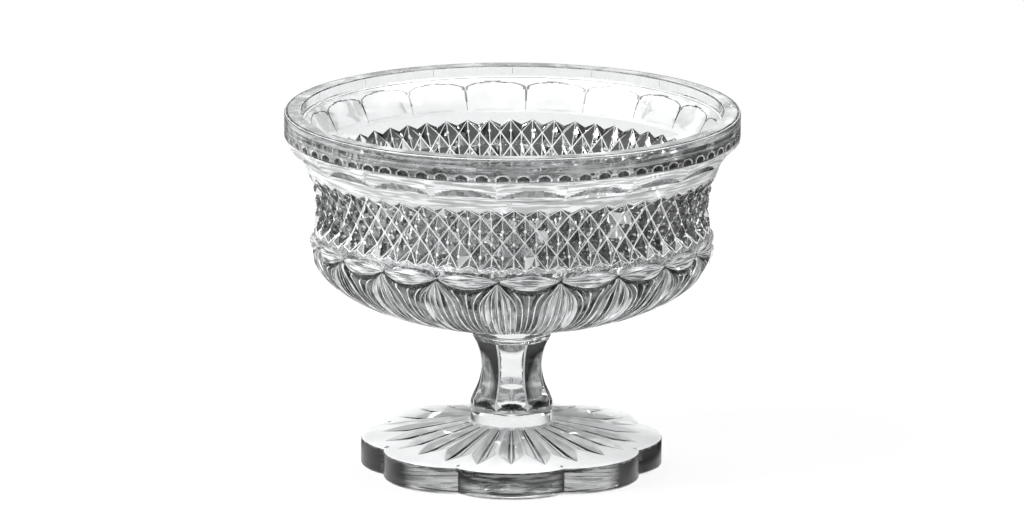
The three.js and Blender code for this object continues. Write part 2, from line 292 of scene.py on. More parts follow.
    def make(self, name: str) -> bpy.types.Object:
        """Turns the skin into an object at the origin, with its doubles merged.

        Args:
            name: Name of the object and its mesh.

        Returns:
            The new object.
        """
        mesh = bpy.data.meshes.new(name)
        faces = [face for block in self.faces for face in block.tolist()]
        mesh.from_pydata(np.concatenate(self.points).tolist(), [], faces)
        mesh.polygons.foreach_set("material_index", np.concatenate(self.finishes).astype(np.int32))
        grain = mesh.attributes.new("grain", "FLOAT_VECTOR", "POINT")
        grain.data.foreach_set("vector", np.concatenate(self.grain).astype(np.float32).ravel())
        work = bmesh.new()
        work.from_mesh(mesh)
        bmesh.ops.remove_doubles(work, verts=work.verts, dist=MERGE_WITHIN)
        bmesh.ops.dissolve_degenerate(work, edges=work.edges, dist=MERGE_WITHIN / 2)
        work.to_mesh(mesh)
        open_edges = sum(1 for edge in work.edges if len(edge.link_faces) != 2)
        work.free()
        mesh.polygons.foreach_set("use_smooth", np.ones(len(mesh.polygons), dtype=bool))
        mesh.set_sharp_from_angle(angle=SHARP_ABOVE)
        piece = bpy.data.objects.new(name, mesh)
        bpy.context.scene.collection.objects.link(piece)
        triangles = sum(len(face.vertices) - 2 for face in mesh.polygons)
        logger.info("%s: %d triangles, %d open edges", name, triangles, open_edges)
        return piece


@dataclass
class Foot:
    """The eight-lobed foot with a rayed top, in millimetres.

    ray_steps are shares of a ray's half width, from its bottom out, and bank_steps shares of the
    bank beside it. ray_finishes go with the faces between these points: painted highlight lines on
    the ray's bottom and brink, painted shade beside the bottom, pale painted streaks up its side
    and painted light on the bank.
    """

    lobes: int = 8
    lobe_reach: float = 60.4
    valley_reach: float = 55.2
    edge_height: float = 11.2
    rise: float = 7.2
    edge_round: float = 0.7
    rays_per_lobe: int = 3
    ray_reach: float = 52.5
    ray_widest: float = 42.0
    ray_slope: float = math.radians(20)
    ray_steps: tuple[float, ...] = (0.0, 0.07, 0.28, 0.93, 1.0)
    bank_steps: tuple[float, ...] = (0.25, 0.6)
    ray_finishes: tuple[Finish, ...] = (Finish.CREST, Finish.SHADE, Finish.STRIP, Finish.CREST,
                                        Finish.PETAL, Finish.PETAL, Finish.PETAL)
    petal_crown: float = 1.4
    underside_radius: float = 44.0
    underside_hollow: float = 5.6
    seat_radius: float = 16.4
    plain_columns: int = 192
    columns_per_lobe: int = 36
    round_rings: int = 6

    @property
    def top(self) -> float:
        """Height of the seat of the stem."""
        return self.edge_height + self.rise

    def reach(self, angle: np.ndarray) -> np.ndarray:
        """Reach of the lobed edge, on which each lobe is one arc of a circle set out from the axis.

        Args:
            angle: Angles in radians.

        Returns:
            Distances from the axis.
        """
        half = math.pi / self.lobes
        x = self.valley_reach * math.cos(half)
        y = self.valley_reach * math.sin(half)
        centre = (self.lobe_reach ** 2 - x ** 2 - y ** 2) / (2 * (self.lobe_reach - x))
        radius = self.lobe_reach - centre
        off = angle - np.round(angle / (2 * half)) * 2 * half
        return centre * np.cos(off) + np.sqrt(radius ** 2 - (centre * np.sin(off)) ** 2)

    def petals(self, angle: np.ndarray, radius: np.ndarray) -> np.ndarray:
        """Height of the top: a cone whose lobes are crowned over their middle and meet in creases.

        The crown falls as the square of the way from a lobe's middle to its valley, and both grow
        with the radius.

        Args:
            angle: Angles in radians.
            radius: Radii, which broadcast with the angles.

        Returns:
            Heights above the floor.
        """
        outward = (radius - self.seat_radius) / (self.lobe_reach - self.seat_radius)
        turns = angle * self.lobes / TURN
        aside = 2 * (turns - np.round(turns))
        return self.top - outward * (self.rise + self.petal_crown * aside ** 2)

    def ray_rings(self, radius: np.ndarray) -> tuple[np.ndarray, np.ndarray]:
        """Angles and heights of the rayed top.

        Each ray is a V cut as wide as its pitch up to the widest place and then closing to a point.

        Args:
            radius: Radii of the rings, shaped (rings, 1).

        Returns:
            Angles and heights, shaped (rings, points).
        """
        rays = self.lobes * self.rays_per_lobe
        opening = np.clip((self.ray_reach - radius) / (self.ray_reach - self.ray_widest), 0.0, 1.0)
        half = opening * 0.5
        right = half * np.array([self.ray_steps])
        bank = half + (0.5 - half) * np.array([self.bank_steps])
        middle = np.full_like(half, 0.5)
        shares = np.concatenate((right, bank, middle, 1 - bank[:, ::-1], 1 - right[:, :0:-1]), axis=1)
        off = np.minimum(shares, 1 - shares)
        deep = np.clip(half - off, 0.0, None) * TURN / rays * radius * math.tan(self.ray_slope)
        angle = repeated(rays, 0.0, shares)
        return angle, self.petals(angle, radius) - tiled(rays, deep)

    def ray_chart(self) -> np.ndarray:
        """Finish numbers of one row of faces over the rays, each ray the same to both sides: painted
        light and shade.
        """
        half = [finish.value for finish in self.ray_finishes]
        return np.tile(half + half[::-1], self.lobes * self.rays_per_lobe)

    def crease_chart(self) -> np.ndarray:
        """Finishes outside the rays: painted light, with a painted shade line and a painted highlight
        line in each valley between two lobes.

        Returns:
            Finish numbers of one row of faces.
        """
        chart = np.full(self.lobes * self.columns_per_lobe, Finish.PETAL.value)
        valley = self.columns_per_lobe // 2
        chart[valley - 1::self.columns_per_lobe] = Finish.SHADE.value
        chart[valley::self.columns_per_lobe] = Finish.CREST.value
        return chart

    def build(self) -> bpy.types.Object:
        """Makes the foot's closed skin, from the hollow underside to the seat of the stem.

        Returns:
            The foot.
        """
        skin = Skin()
        plain = circle(self.plain_columns)
        lobed = circle(self.lobes * self.columns_per_lobe)
        reach, edge = self.reach(lobed), self.edge_round
        brim = self.petals(lobed, reach)
        inset, fall = rounding(self.round_rings)
        skin.pole(self.underside_hollow, Finish.CLEAR)
        share = stacked(np.linspace(0.12, 0.96, 22), 0.98, 0.995, 1.0)
        skin.band(plain, self.underside_radius * share, self.underside_hollow * (1 - share ** 2),
                  Finish.CLEAR)
        skin.band(lobed, reach - edge * inset[::-1], edge * fall[::-1], Finish.CLEAR)
        # The wall takes streaky painted shade, darker at a slant; the round over it a painted shade
        # line under painted light.
        skin.band(lobed, reach, blend(edge, brim - edge, stacked(0.02, 0.35, 0.65, 0.98)), Finish.WALL)
        skin.band(lobed, reach - edge * inset, brim - edge * fall, Finish.SHADE,
                  by_row(*[Finish.SHADE] * 2, *[Finish.PETAL] * (self.round_rings - 3)))
        # The top is painted light, with painted shade and highlight lines in the valleys and on the
        # rays.
        radius = blend(reach - edge, self.ray_reach, np.linspace(0.14, 0.86, 5)[:, None])
        skin.band(lobed, radius, self.petals(lobed, radius), Finish.PETAL, self.crease_chart())
        radius = stacked(np.linspace(self.ray_reach, self.ray_widest, 8),
                         np.linspace(self.ray_widest, self.seat_radius + 1, 10)[1:])
        angle, height = self.ray_rings(radius)
        skin.band(angle, radius, height, Finish.PETAL, self.ray_chart())
        skin.band(plain, self.seat_radius, self.top, Finish.PETAL)
        skin.pole(self.top, Finish.JOINT)
        return skin.make("foot_glass")


@dataclass
class Stem:
    """The eight-sided stem, with slightly hollow sides and a round collar, in millimetres."""

    foot_top: float = 18.4
    facets: int = 8
    height: float = 35.6
    waist: float = 12.0
    waist_height: float = 22.1
    curve: float = 27.0
    bevel_height: float = 2.0
    bevel_width: float = 1.2
    collar_radius: float = 16.4
    edge_strip: float = 0.035
    facet_points: int = 20
    hollow: float = 0.38
    hollow_from: float = 7.0
    hollow_fade: float = 5.0
    # Where the painted shade arch over the clear collar lies.
    arch_foot: float = 6.5
    arch_top: float = 9.4
    arch_width: float = 2.1
    arch_ends: float = 0.15
    top_inset: float = 0.15

    def facet_distance(self, height: Values) -> Values:
        """Distance of the middle of a facet from the axis: one arc, slimmest at the waist."""
        return self.waist + self.curve - np.sqrt(self.curve ** 2 - (height - self.waist_height) ** 2)

    def chart(self, shares: np.ndarray, heights: np.ndarray) -> np.ndarray:
        """Finish numbers of one facet: painted shade at a slant, a painted highlight line on its edge
        and a painted shade arch over the clear collar.

        Args:
            shares: Shares across the facet, shaped (1, points).
            heights: Heights of the rows of faces, shaped (rows, 1).

        Returns:
            Finish numbers shaped (rows, points).
        """
        chart = np.full((len(heights), shares.shape[1]), Finish.FLANK.value)
        chart[:, [0, -1]] = Finish.CREST.value
        below = blend(self.arch_foot, self.arch_top, across(shares)) - heights
        chart[below > 0] = Finish.CLEAR.value
        arch = self.arch_width * (self.arch_ends + across(shares))
        chart[(below > 0) & (below < arch)] = Finish.DARK.value
        return chart

    def build(self) -> bpy.types.Object:
        """Makes the stem: at every height its reach is the facet's or the collar's, whichever is less.

        The facets' hollow is a parabola over their width and fades out towards collar and bevel.

        Returns:
            The stem.
        """
        shares = stacked(0.0, np.linspace(self.edge_strip, 1 - self.edge_strip, self.facet_points)).T
        angle = repeated(self.facets, math.pi / self.facets, shares)
        slant = np.cos(tiled(self.facets, (shares - 0.5) * TURN / self.facets))
        bevel = self.height - self.bevel_height
        rows = stacked(np.linspace(0, self.arch_foot, 4),
                       np.linspace(self.arch_foot + 0.4, self.arch_top + 0.5, 16),
                       np.linspace(self.arch_top + 1.0, bevel - 0.25, 26), bevel)
        fade = eased(np.minimum(rows - self.hollow_from, bevel - rows) / self.hollow_fade)
        hollow = self.hollow * fade * tiled(self.facets, across(shares))
        radius = np.minimum((self.facet_distance(rows) - hollow) / slant, self.collar_radius)
        top_rows = stacked(bevel + 0.25, self.height - 0.2, self.height)
        wider = self.facet_distance(bevel) + self.bevel_width * (top_rows - bevel) / self.bevel_height
        top = np.minimum(wider / slant, self.collar_radius)
        top[-1] -= self.top_inset
        skin = Skin()
        skin.pole(self.foot_top, Finish.JOINT)
        skin.band(angle, radius[:1], self.foot_top, Finish.JOINT)
        skin.band(angle, radius[1:], self.foot_top + rows[1:], Finish.CLEAR,
                  tiled(self.facets, self.chart(shares, rows[1:-1])))
        skin.band(angle, top, self.foot_top + top_rows, Finish.CLEAR)
        skin.band(circle(JOINT_POINTS), JOINT_RADIUS, self.foot_top + self.height, Finish.CLEAR)
        skin.pole(self.foot_top + self.height, Finish.JOINT)
        return skin.make("stem_glass")


@dataclass
class Wafer:
    """The small scalloped disc of hot glass between the stem and the bowl, in millimetres."""

    base: float = 54.0
    thickness: float = 3.0
    radius: float = 16.2
    scallops: int = 10
    scallop_points: int = 12
    depth: float = 0.5
    bend: float = 1.2
    full_bend: float = 1.3

    def build(self) -> bpy.types.Object:
        """Makes the wafer: a half-round edge whose reach follows a row of scallops.

        Returns:
            The wafer.
        """
        joint = circle(JOINT_POINTS)
        shares = np.linspace(0, 1, self.scallop_points, endpoint=False)[None, :]
        scallop = np.abs(np.sin(math.pi * shares))
        bend = np.linspace(-self.bend, self.bend, 9)[:, None]
        beyond = self.radius - self.depth + self.depth * scallop - JOINT_RADIUS
        skin = Skin()
        skin.pole(self.base, Finish.JOINT)
        skin.band(joint, JOINT_RADIUS, self.base, Finish.JOINT)
        skin.panels(shares, JOINT_RADIUS + beyond * np.cos(bend),
                    self.base + self.thickness / 2 * (1 + np.sin(bend) / math.sin(self.full_bend)),
                    Finish.CLEAR, copies=self.scallops)
        skin.band(joint, JOINT_RADIUS, self.base + self.thickness, Finish.CLEAR)
        skin.pole(self.base + self.thickness, Finish.JOINT)
        return skin.make("wafer_glass")


@dataclass
class Leaves:
    """Twenty ribbed leaves that fan out from the points between the ovals, in millimetres."""

    belly_level: float = 90.0
    belly_radius: float = 80.6
    belly_depth: float = 31.8
    foot_radius: float = 21.0
    tip_width: float = 0.015
    full_width: float = 0.31
    opening: float = 0.055
    leaf_ribs: int = 3
    gap_ribs: int = 4
    land: float = 0.075
    relief: float = 1.25
    step: float = 0.6
    undercut: float = 1.3
    undercut_share: float = 0.012

    def chart(self) -> np.ndarray:
        """Finishes across a panel: six faces to a channel, painted highlight lines on every ridge,
        painted light streaks on the outer sides of a leaf's ribs, and painted shade elsewhere, darkest
        between two leaves.

        Returns:
            Finish numbers of one row of faces.
        """
        channels = np.full((2 * self.leaf_ribs + self.gap_ribs, 6), Finish.RIB.value)
        channels[:self.leaf_ribs, 3:5] = Finish.LEAF.value
        channels[-self.leaf_ribs:, 1:3] = Finish.LEAF.value
        channels[self.leaf_ribs:-self.leaf_ribs] = Finish.SHADE.value
        channels[:, [0, 5]] = Finish.RIDGE.value
        return channels.ravel()

    def shares(self, down: np.ndarray) -> tuple[np.ndarray, np.ndarray, np.ndarray]:
        """Where the points of one panel lie, from the middle of a leaf to the middle of the next.

        The leaf's half width rises from its tip as 1 - e^(-down / opening). Its ribs share that width
        out evenly, and the ribs between two leaves share out the rest.

        Args:
            down: Shares of the way down the leaf, shaped (rings, 1).

        Returns:
            Shares of the pitch, place within a rib's channel, and 1 on a leaf or 0 between two.
        """
        half = blend(self.tip_width, self.full_width, 1 - np.exp(-down / self.opening))
        leaf = vee_strips(self.leaf_ribs, self.land)
        gap = vee_strips(self.gap_ribs, self.land)
        right = half * leaf[None, :]
        middle = half + (1 - 2 * half) * gap[None, :]
        left = 1 - half + half * leaf[None, :]
        shares = np.concatenate((right, middle, left), axis=1)
        on_rib = leaf * self.leaf_ribs % 1.0
        channel = np.concatenate((on_rib, gap * self.gap_ribs % 1.0, on_rib))
        on_leaf = np.concatenate([np.ones_like(leaf), np.zeros_like(gap), np.ones_like(leaf)])
        on_leaf[len(leaf)] = 1.0
        return shares, channel, on_leaf

    def add_to(self, skin: Skin, roof: "Ovals") -> None:
        """Adds the leaves, from their foot up to the roof that the ovals make.

        A channel's cross-section is a V between two ribs. The leaves stand one step proud of
        what lies between them, and all of it fades out at their foot.

        Args:
            skin: The bowl's skin so far.
            roof: The ovals above.
        """
        down = stacked(np.linspace(1, 0.7, 4), np.linspace(0.64, 0.17, 13), np.linspace(0.14, 0.02, 5),
                       0.008, 0.0)
        shares, channel, on_leaf = self.shares(down)
        level = roof.lower_edge(shares) - self.step
        first = np.arcsin((self.belly_level - level) / self.belly_depth)
        slope = blend(first, math.acos(self.foot_radius / self.belly_radius), down)
        groove = self.relief * vee(channel[None, :], self.land)
        groove = groove * np.where(on_leaf[None, :] > 0, 1 - np.exp(-down / self.opening), 1.0)
        inset = (groove + self.step * (1 - on_leaf[None, :])) * (1 - down ** 3)
        inset = inset + self.undercut * np.clip(1 - down / self.undercut_share, 0, 1)
        radius = (self.belly_radius - inset) * np.cos(slope)
        height = self.belly_level - (self.belly_depth - inset) * np.sin(slope)
        skin.panels(shares, radius, height, Finish.RIB, self.chart())


@dataclass
class Ovals:
    """Twenty pointed oval bosses side by side, in millimetres."""

    level: float = 92.9
    rise: float = 2.7
    drop: float = 4.6
    bulge: float = 2.5
    roundness: float = 0.6
    seat_radius: float = 78.4
    recess: float = 1.2
    strip_gap: float = 0.8
    # dark_below and dark_beyond set where the painted shade under each boss and at its ends starts.
    dark_below: float = -0.8
    dark_beyond: float = 0.93

    def lower_edge(self, share: np.ndarray) -> np.ndarray:
        """Height of the ovals' lower edge over one panel, which is also the leaves' roof."""
        return self.level - self.drop * across(share)

    def add_to(self, skin: Skin) -> None:
        """Adds the bosses and the recess over them.

        A boss bulges as a parabola over the panel, and its back falls away towards its two edges.

        Args:
            skin: The bowl's skin so far.
        """
        shares = stacked(0.0, 0.012, np.linspace(0.04, 0.96, 20), 0.988).T
        hump = across(shares)
        up = stacked(-1.0, -0.96, np.linspace(-0.85, 0.85, 11), 0.96, 1.0)
        reach = np.where(up < 0, self.drop, self.rise)
        # The brink under each boss and at its ends takes painted shade, the rest painted streaks of
        # light and shade.
        brink = (up[:-1] < self.dark_below) | (np.abs(2 * shares - 1) > self.dark_beyond)
        chart = np.where(brink, Finish.DARK.value, Finish.BOSS.value)
        skin.panels(shares, self.seat_radius + self.bulge * hump * (1 - self.roundness * up ** 2),
                    self.level + reach * up * hump, Finish.DARK, chart)
        skin.panels(shares, self.seat_radius - self.recess,
                    self.level + self.rise * hump + self.strip_gap / 2, Finish.SATIN)


@dataclass
class Diamonds:
    """Four rows of pointed diamonds whose flat faces meet in unbroken grooves, in millimetres.

    The strips are lands on ridges and grooves, as shares of a diamond's side or of the way to its
    outline. The rings are shares of that way too.
    """

    count: int = 56
    turn: float = math.radians(0.5)
    rows: int = 4
    bottom: float = 97.2
    half_height: float = 5.4
    depth: float = 3.4
    run_out: float = 4.0
    dip: float = 1.9
    radius: float = 78.9
    flare: float = 0.0089
    ridge_strip: float = 0.042
    widest_strip: float = 0.36
    groove_strip: float = 0.072
    tip: float = 0.17
    middle_ring: float = 0.55
    run_out_ring: float = 0.5
    keels: tuple[int, ...] = (1, 3)
    margin_below: float = 0.2
    margin_above: float = 0.25
    # A share of the facets, drawn with this seed, takes painted highlights as glints.
    bright_facets: float = 0.04
    seed: int = 11

    @property
    def top(self) -> float:
        """Height of the tips of the uppermost row."""
        return self.bottom + self.rows * self.half_height + self.run_out

    def neck(self, height: np.ndarray) -> np.ndarray:
        """Radius over the diamonds' points, and over the plain neck above them."""
        return self.radius + self.flare * (height - self.bottom - self.half_height) ** 2

    def corner(self, half_pitch: np.ndarray, level: np.ndarray) -> np.ndarray:
        """A corner of the pattern as a point in metres.

        Points and groove crossings take turns over a level and swap on the next one. On the level
        under the rows and the one over them, the grooves run out in tips, and the plain glass dips
        between these.

        Args:
            half_pitch: Whole number of half pitches round the axis.
            level: Whole number of the level, from 0 to rows + 1.

        Returns:
            Points with x, y and z on the last axis.
        """
        crossing = (half_pitch + level + self.rows) % 2 == 1
        height = self.bottom + level * self.half_height
        height = np.where((level == 0) & ~crossing, height + self.dip, height)
        height = np.where(level > self.rows, self.top - self.dip * ~crossing, height)
        deep = crossing & (level > 0) & (level <= self.rows)
        radius = self.neck(height) - np.where(deep, self.depth, 0.0)
        return placed(self.turn + half_pitch * math.pi / self.count, radius, height)

    def pattern(self, corners: int, rings: tuple[float, ...], dulled: float, keels: tuple[int, ...]
                ) -> tuple[np.ndarray, list[tuple[np.ndarray, np.ndarray]]]:
        """One faceted shape as weights of its tip and corners, so that its facets stay flat.

        Rings of points go round the tip. Each ring has a point on every ridge and one a narrow
        strip to either side of it. The ridge itself is drawn in to the line between these two,
        which leaves a narrow flat land on it.

        Args:
            corners: How many corners the outline has.
            rings: Shares of the way from the tip to the outline.
            dulled: How far the tip itself is drawn in.
            keels: The corners whose ridges take painted pale lines, as grooves round the shape always
                do.

        Returns:
            Weights shaped (points, 1 + corners), and the faces at the tip and round it, each with
            their finish numbers.
        """
        share = np.array(rings)[:, None, None]
        beside = np.minimum(self.ridge_strip / share, self.widest_strip)
        side = np.concatenate((np.zeros_like(beside), beside, 1 - beside), axis=2)
        side = np.broadcast_to(side, (len(rings), corners, 3)).reshape(len(rings), -1)
        share = np.broadcast_to(np.array(rings)[:, None], side.shape)
        around = side.shape[1]
        column = np.arange(around)
        corner = column // 3
        weights = np.zeros((*side.shape, corners + 1))
        weights[:, column, 1 + corner] = share * (1 - side)
        weights[:, column, 1 + (corner + 1) % corners] += share * side
        weights[:, :, 0] = 1 - share
        weights[:-1, ::3] = (weights[:-1, column[::3] - 1] + weights[:-1, 1::3]) / 2
        tip = np.full((1, corners + 1), dulled / corners)
        tip[0, 0] = 1 - dulled
        ring = 1 + np.arange(len(rings) * around).reshape(len(rings), around)
        following = np.roll(ring, -1, axis=1)
        fan = np.stack((np.zeros(around, dtype=int), ring[0], following[0]), axis=-1)
        quads = np.stack((ring[1:], following[1:], following[:-1], ring[:-1]), axis=-1).reshape(-1, 4)
        # Keel ridges take painted pale lines; the groove ring takes painted highlight lines, and so
        # does the tip where there are keels; the rest is the facets' painted shade.
        on_keel = np.isin(corner, keels) & (column % 3 == 0)
        on_keel |= np.roll(on_keel, -1)
        chart = np.tile(np.where(on_keel, Finish.LAND.value, Finish.FACET.value), (len(rings) - 1, 1))
        chart[-1] = Finish.CREST.value
        top = Finish.CREST if keels else Finish.FACET
        blocks = [(fan, np.full(around, top.value)), (quads, chart.ravel())]
        return np.concatenate((tip, weights.reshape(-1, corners + 1))), blocks

    def raised(self, points: np.ndarray) -> np.ndarray:
        """Raises a groove's bottom by the groove strip's share of its depth, which leaves a land in it.

        Args:
            points: Points on the shapes' outlines, in metres.

        Returns:
            The points, moved outwards.
        """
        reach = np.hypot(points[..., 0], points[..., 1])
        depth = self.neck(points[..., 2] / MM) * MM - reach
        lifted = points.copy()
        lifted[..., :2] *= (1 + self.groove_strip * depth / reach)[..., None]
        return lifted

    def lit(self, numbers: np.ndarray, copies: int, corners: int) -> np.ndarray:
        """Finish numbers of every copy, in which a few facets, taken by a seeded draw, take painted
        highlights.

        Args:
            numbers: Finish numbers of one copy's faces, which go round it side by side.
            copies: How many copies there are.
            corners: How many facets a copy has.

        Returns:
            Finish numbers shaped (copies, faces).
        """
        draw = np.random.default_rng(self.seed).random((copies, corners))
        drawn = np.where(draw < self.bright_facets, Finish.MOUTH.value, Finish.FACET.value)
        around = drawn[:, np.arange(len(numbers)) % (3 * corners) // 3]
        return np.where(numbers == Finish.FACET.value, around, numbers)

    def add_shapes(self, skin: Skin, half_pitch: np.ndarray, level: np.ndarray, tips: np.ndarray,
                   rings: tuple[float, ...], dulled: float, keels: tuple[int, ...]) -> None:
        """Adds copies of one faceted shape.

        Args:
            skin: The bowl's skin so far.
            half_pitch: Corners' places round the axis, shaped (copies, corners), right one first.
            level: Corners' levels, shaped alike.
            tips: The shapes' tips in metres, shaped (copies, 3).
            rings: Shares of the way from the tip to the outline.
            dulled: How far the tips are drawn in.
            keels: The corners whose ridges take painted pale lines.
        """
        copies, corners = half_pitch.shape
        weights, blocks = self.pattern(corners, rings, dulled, keels)
        frames = np.concatenate((tips[:, None, :], self.corner(half_pitch, level)), axis=1)
        points = np.einsum("pk,dkc->dpc", weights, frames)
        points[:, -3 * corners:] = self.raised(points[:, -3 * corners:])
        skin.patch(points, [(faces, self.lit(numbers, copies, corners)) for faces, numbers in blocks])

    def edge_ring(self, level: int) -> tuple[np.ndarray, np.ndarray]:
        """Points and angles of the zigzag of tips and dips, under or over the rows.

        Args:
            level: 0 for the edge under the rows, rows + 1 for the one over them.

        Returns:
            Points shaped (1, points, 3) and angles shaped (1, points).
        """
        first = np.arange(self.count * 2)
        levels = np.full_like(first, level)
        share = np.array([0.0, self.ridge_strip, 1 - self.ridge_strip])
        start, end = self.corner(first, levels), self.corner(first + 1, levels)
        points = start[:, None] + (end - start)[:, None] * share[None, :, None]
        angle = self.turn + (first[:, None] + share[None, :]) * math.pi / self.count
        return points.reshape(1, -1, 3), angle.reshape(1, -1)

    def beside_edge(self, level: int, lift: float) -> tuple[np.ndarray, np.ndarray, np.ndarray]:
        """The zigzag of an edge once more, moved up over the plain glass.

        Args:
            level: The level of the edge.
            lift: How far it is moved up.

        Returns:
            Angles, radii and heights, as a band takes them.
        """
        points, angle = self.edge_ring(level)
        height = points[..., 2] / MM + lift
        return angle, self.neck(height), height

    def add_run_outs(self, skin: Skin, last: int, beyond: int) -> None:
        """Adds the steep three-cornered run-outs of the grooves on one side of the rows.

        Args:
            skin: The bowl's skin so far.
            last: The outermost level with crossings on that side.
            beyond: The level of the tips.
        """
        rings = (self.run_out_ring, 1 - self.groove_strip * 2, 1.0)
        crossing = np.arange(self.count) * 2 + (self.rows + last + 1) % 2
        for side in (1, -1):
            outer = (crossing + side, crossing)
            if side != beyond - last:
                outer = outer[::-1]
            sides = np.stack((crossing, *outer), axis=1)
            heights = np.broadcast_to([last, beyond, beyond], sides.shape)
            tips = self.corner(sides, heights).mean(axis=1)
            self.add_shapes(skin, sides, heights, tips, rings, 0.0, ())

    def add_to(self, skin: Skin) -> None:
        """Adds the rows of diamonds, and the run-outs of their grooves over and under them.

        Args:
            skin: The bowl's skin so far.
        """
        over = self.rows + 1
        skin.band(*self.beside_edge(0, -self.margin_below), Finish.SATIN)
        skin.rows(*self.edge_ring(0), Finish.SATIN)
        number = np.arange(1, over)[:, None]
        centre = np.arange(self.count)[None, :] * 2 + (self.rows - number) % 2
        level = np.broadcast_to(number, centre.shape).ravel()
        centre = centre.ravel()
        sides = np.stack((centre + 1, centre, centre - 1, centre), axis=1)
        heights = np.stack((level, level + 1, level, level - 1), axis=1)
        rings = (self.tip, self.middle_ring, 1 - self.groove_strip, 1.0)
        self.add_shapes(skin, sides, heights, self.corner(centre, level), rings, self.tip, self.keels)
        self.add_run_outs(skin, self.rows, over)
        self.add_run_outs(skin, 1, 0)
        skin.edge = None
        skin.rows(*self.edge_ring(over), Finish.SATIN)
        skin.band(*self.beside_edge(over, self.margin_above), Finish.SATIN)


@dataclass
class Flutes:
    """Twenty hollow flutes with arched tops under the rim's band, in millimetres.

    The shapes are powers: of the scoop across a flute, of its arched top and of the lens of painted
    shade in it.
    """

    bottom: float = 126.6
    height: float = 8.8
    depth: float = 1.9
    first_depth: float = 0.35
    hollow_shape: float = 2.4
    arch_shape: float = 2.4
    cusp: float = 0.34
    spandrel: tuple[float, ...] = (0.0, 0.035, 0.4, 0.85)
    # Where the lens of painted shade in each flute lies.
    lens_level: float = 127.3
    lens_rise: float = 4.1
    lens_height: float = 3.2
    lens_shape: float = 0.7
    rim_radius: float = 91.0
    neck_columns: int = 240

    def chart(self, shares: np.ndarray, up: np.ndarray) -> np.ndarray:
        """Finish numbers of one flute: painted light, a lens of painted shade bowed up between the
        cusps, and a painted highlight line on each divider that shows dark from within.

        Args:
            shares: Shares of the pitch, shaped (rings, points).
            up: Shares of the height, shaped (rings, 1).

        Returns:
            Finish numbers shaped (rings - 1, points).
        """
        bow = np.clip(across(shares), 0.0, 1.0) ** self.lens_shape
        below = self.lens_level + self.lens_rise * bow - self.bottom - self.height * up
        in_lens = (below > 0) & (below < self.lens_height * bow)
        chart = np.where(in_lens, Finish.SHADE.value, Finish.GLOSS.value)[:-1]
        chart[:, [0, -1]] = Finish.LINE.value
        return chart

    def add_to(self, skin: Skin, neck: Diamonds) -> None:
        """Adds the plain neck and the flutes.

        The proud surface flares from the neck to the rim as a quarter of a sine. Each flute is a
        scoop whose depth falls off towards its sides as a power of the way there. Above the cusp
        the depth also falls off upwards as an ellipse, which leaves the proud surface standing
        between two arched tops.

        Args:
            skin: The bowl's skin so far.
            neck: The diamonds below, which give the neck's radius.
        """
        # The neck and flutes are painted light over glossy glass, with the flutes' painted shade lens
        # and lines.
        plain = np.linspace(neck.top + 0.5, self.bottom - 0.4, 5)[:, None]
        skin.band(circle(self.neck_columns), neck.neck(plain), plain, Finish.GLOSS)
        up = stacked(np.linspace(0, 0.56, 15), np.linspace(0.63, 0.91, 5), 0.94, 0.97, 0.99, 1.0)
        above = np.clip((up - self.cusp) / (1 - self.cusp), 0.0, 1.0)
        full = self.depth * eased(blend(self.first_depth, 1.0, up / self.cusp))
        deep = full * (1 - above ** self.arch_shape) ** (1 / self.arch_shape)
        arch = 0.5 * (1 - np.clip(deep / full, 0.0, 1.0) ** (1 / self.hollow_shape))
        scoop = stacked(0.0, 0.02, np.linspace(0.08, 0.92, 15), 0.98, 1.0).T
        left = arch * np.array([self.spandrel])
        shares = np.concatenate((left, arch + (1 - 2 * arch) * scoop, 1 - left[:, :0:-1]), axis=1)
        scooped = np.clip(deep - full * np.abs(2 * shares - 1) ** self.hollow_shape, 0.0, None)
        proud = blend(neck.neck(self.bottom), self.rim_radius, np.sin(up * QUARTER))
        skin.panels(shares, proud - scooped, self.bottom + self.height * up, Finish.GLOSS,
                    self.chart(shares, up))


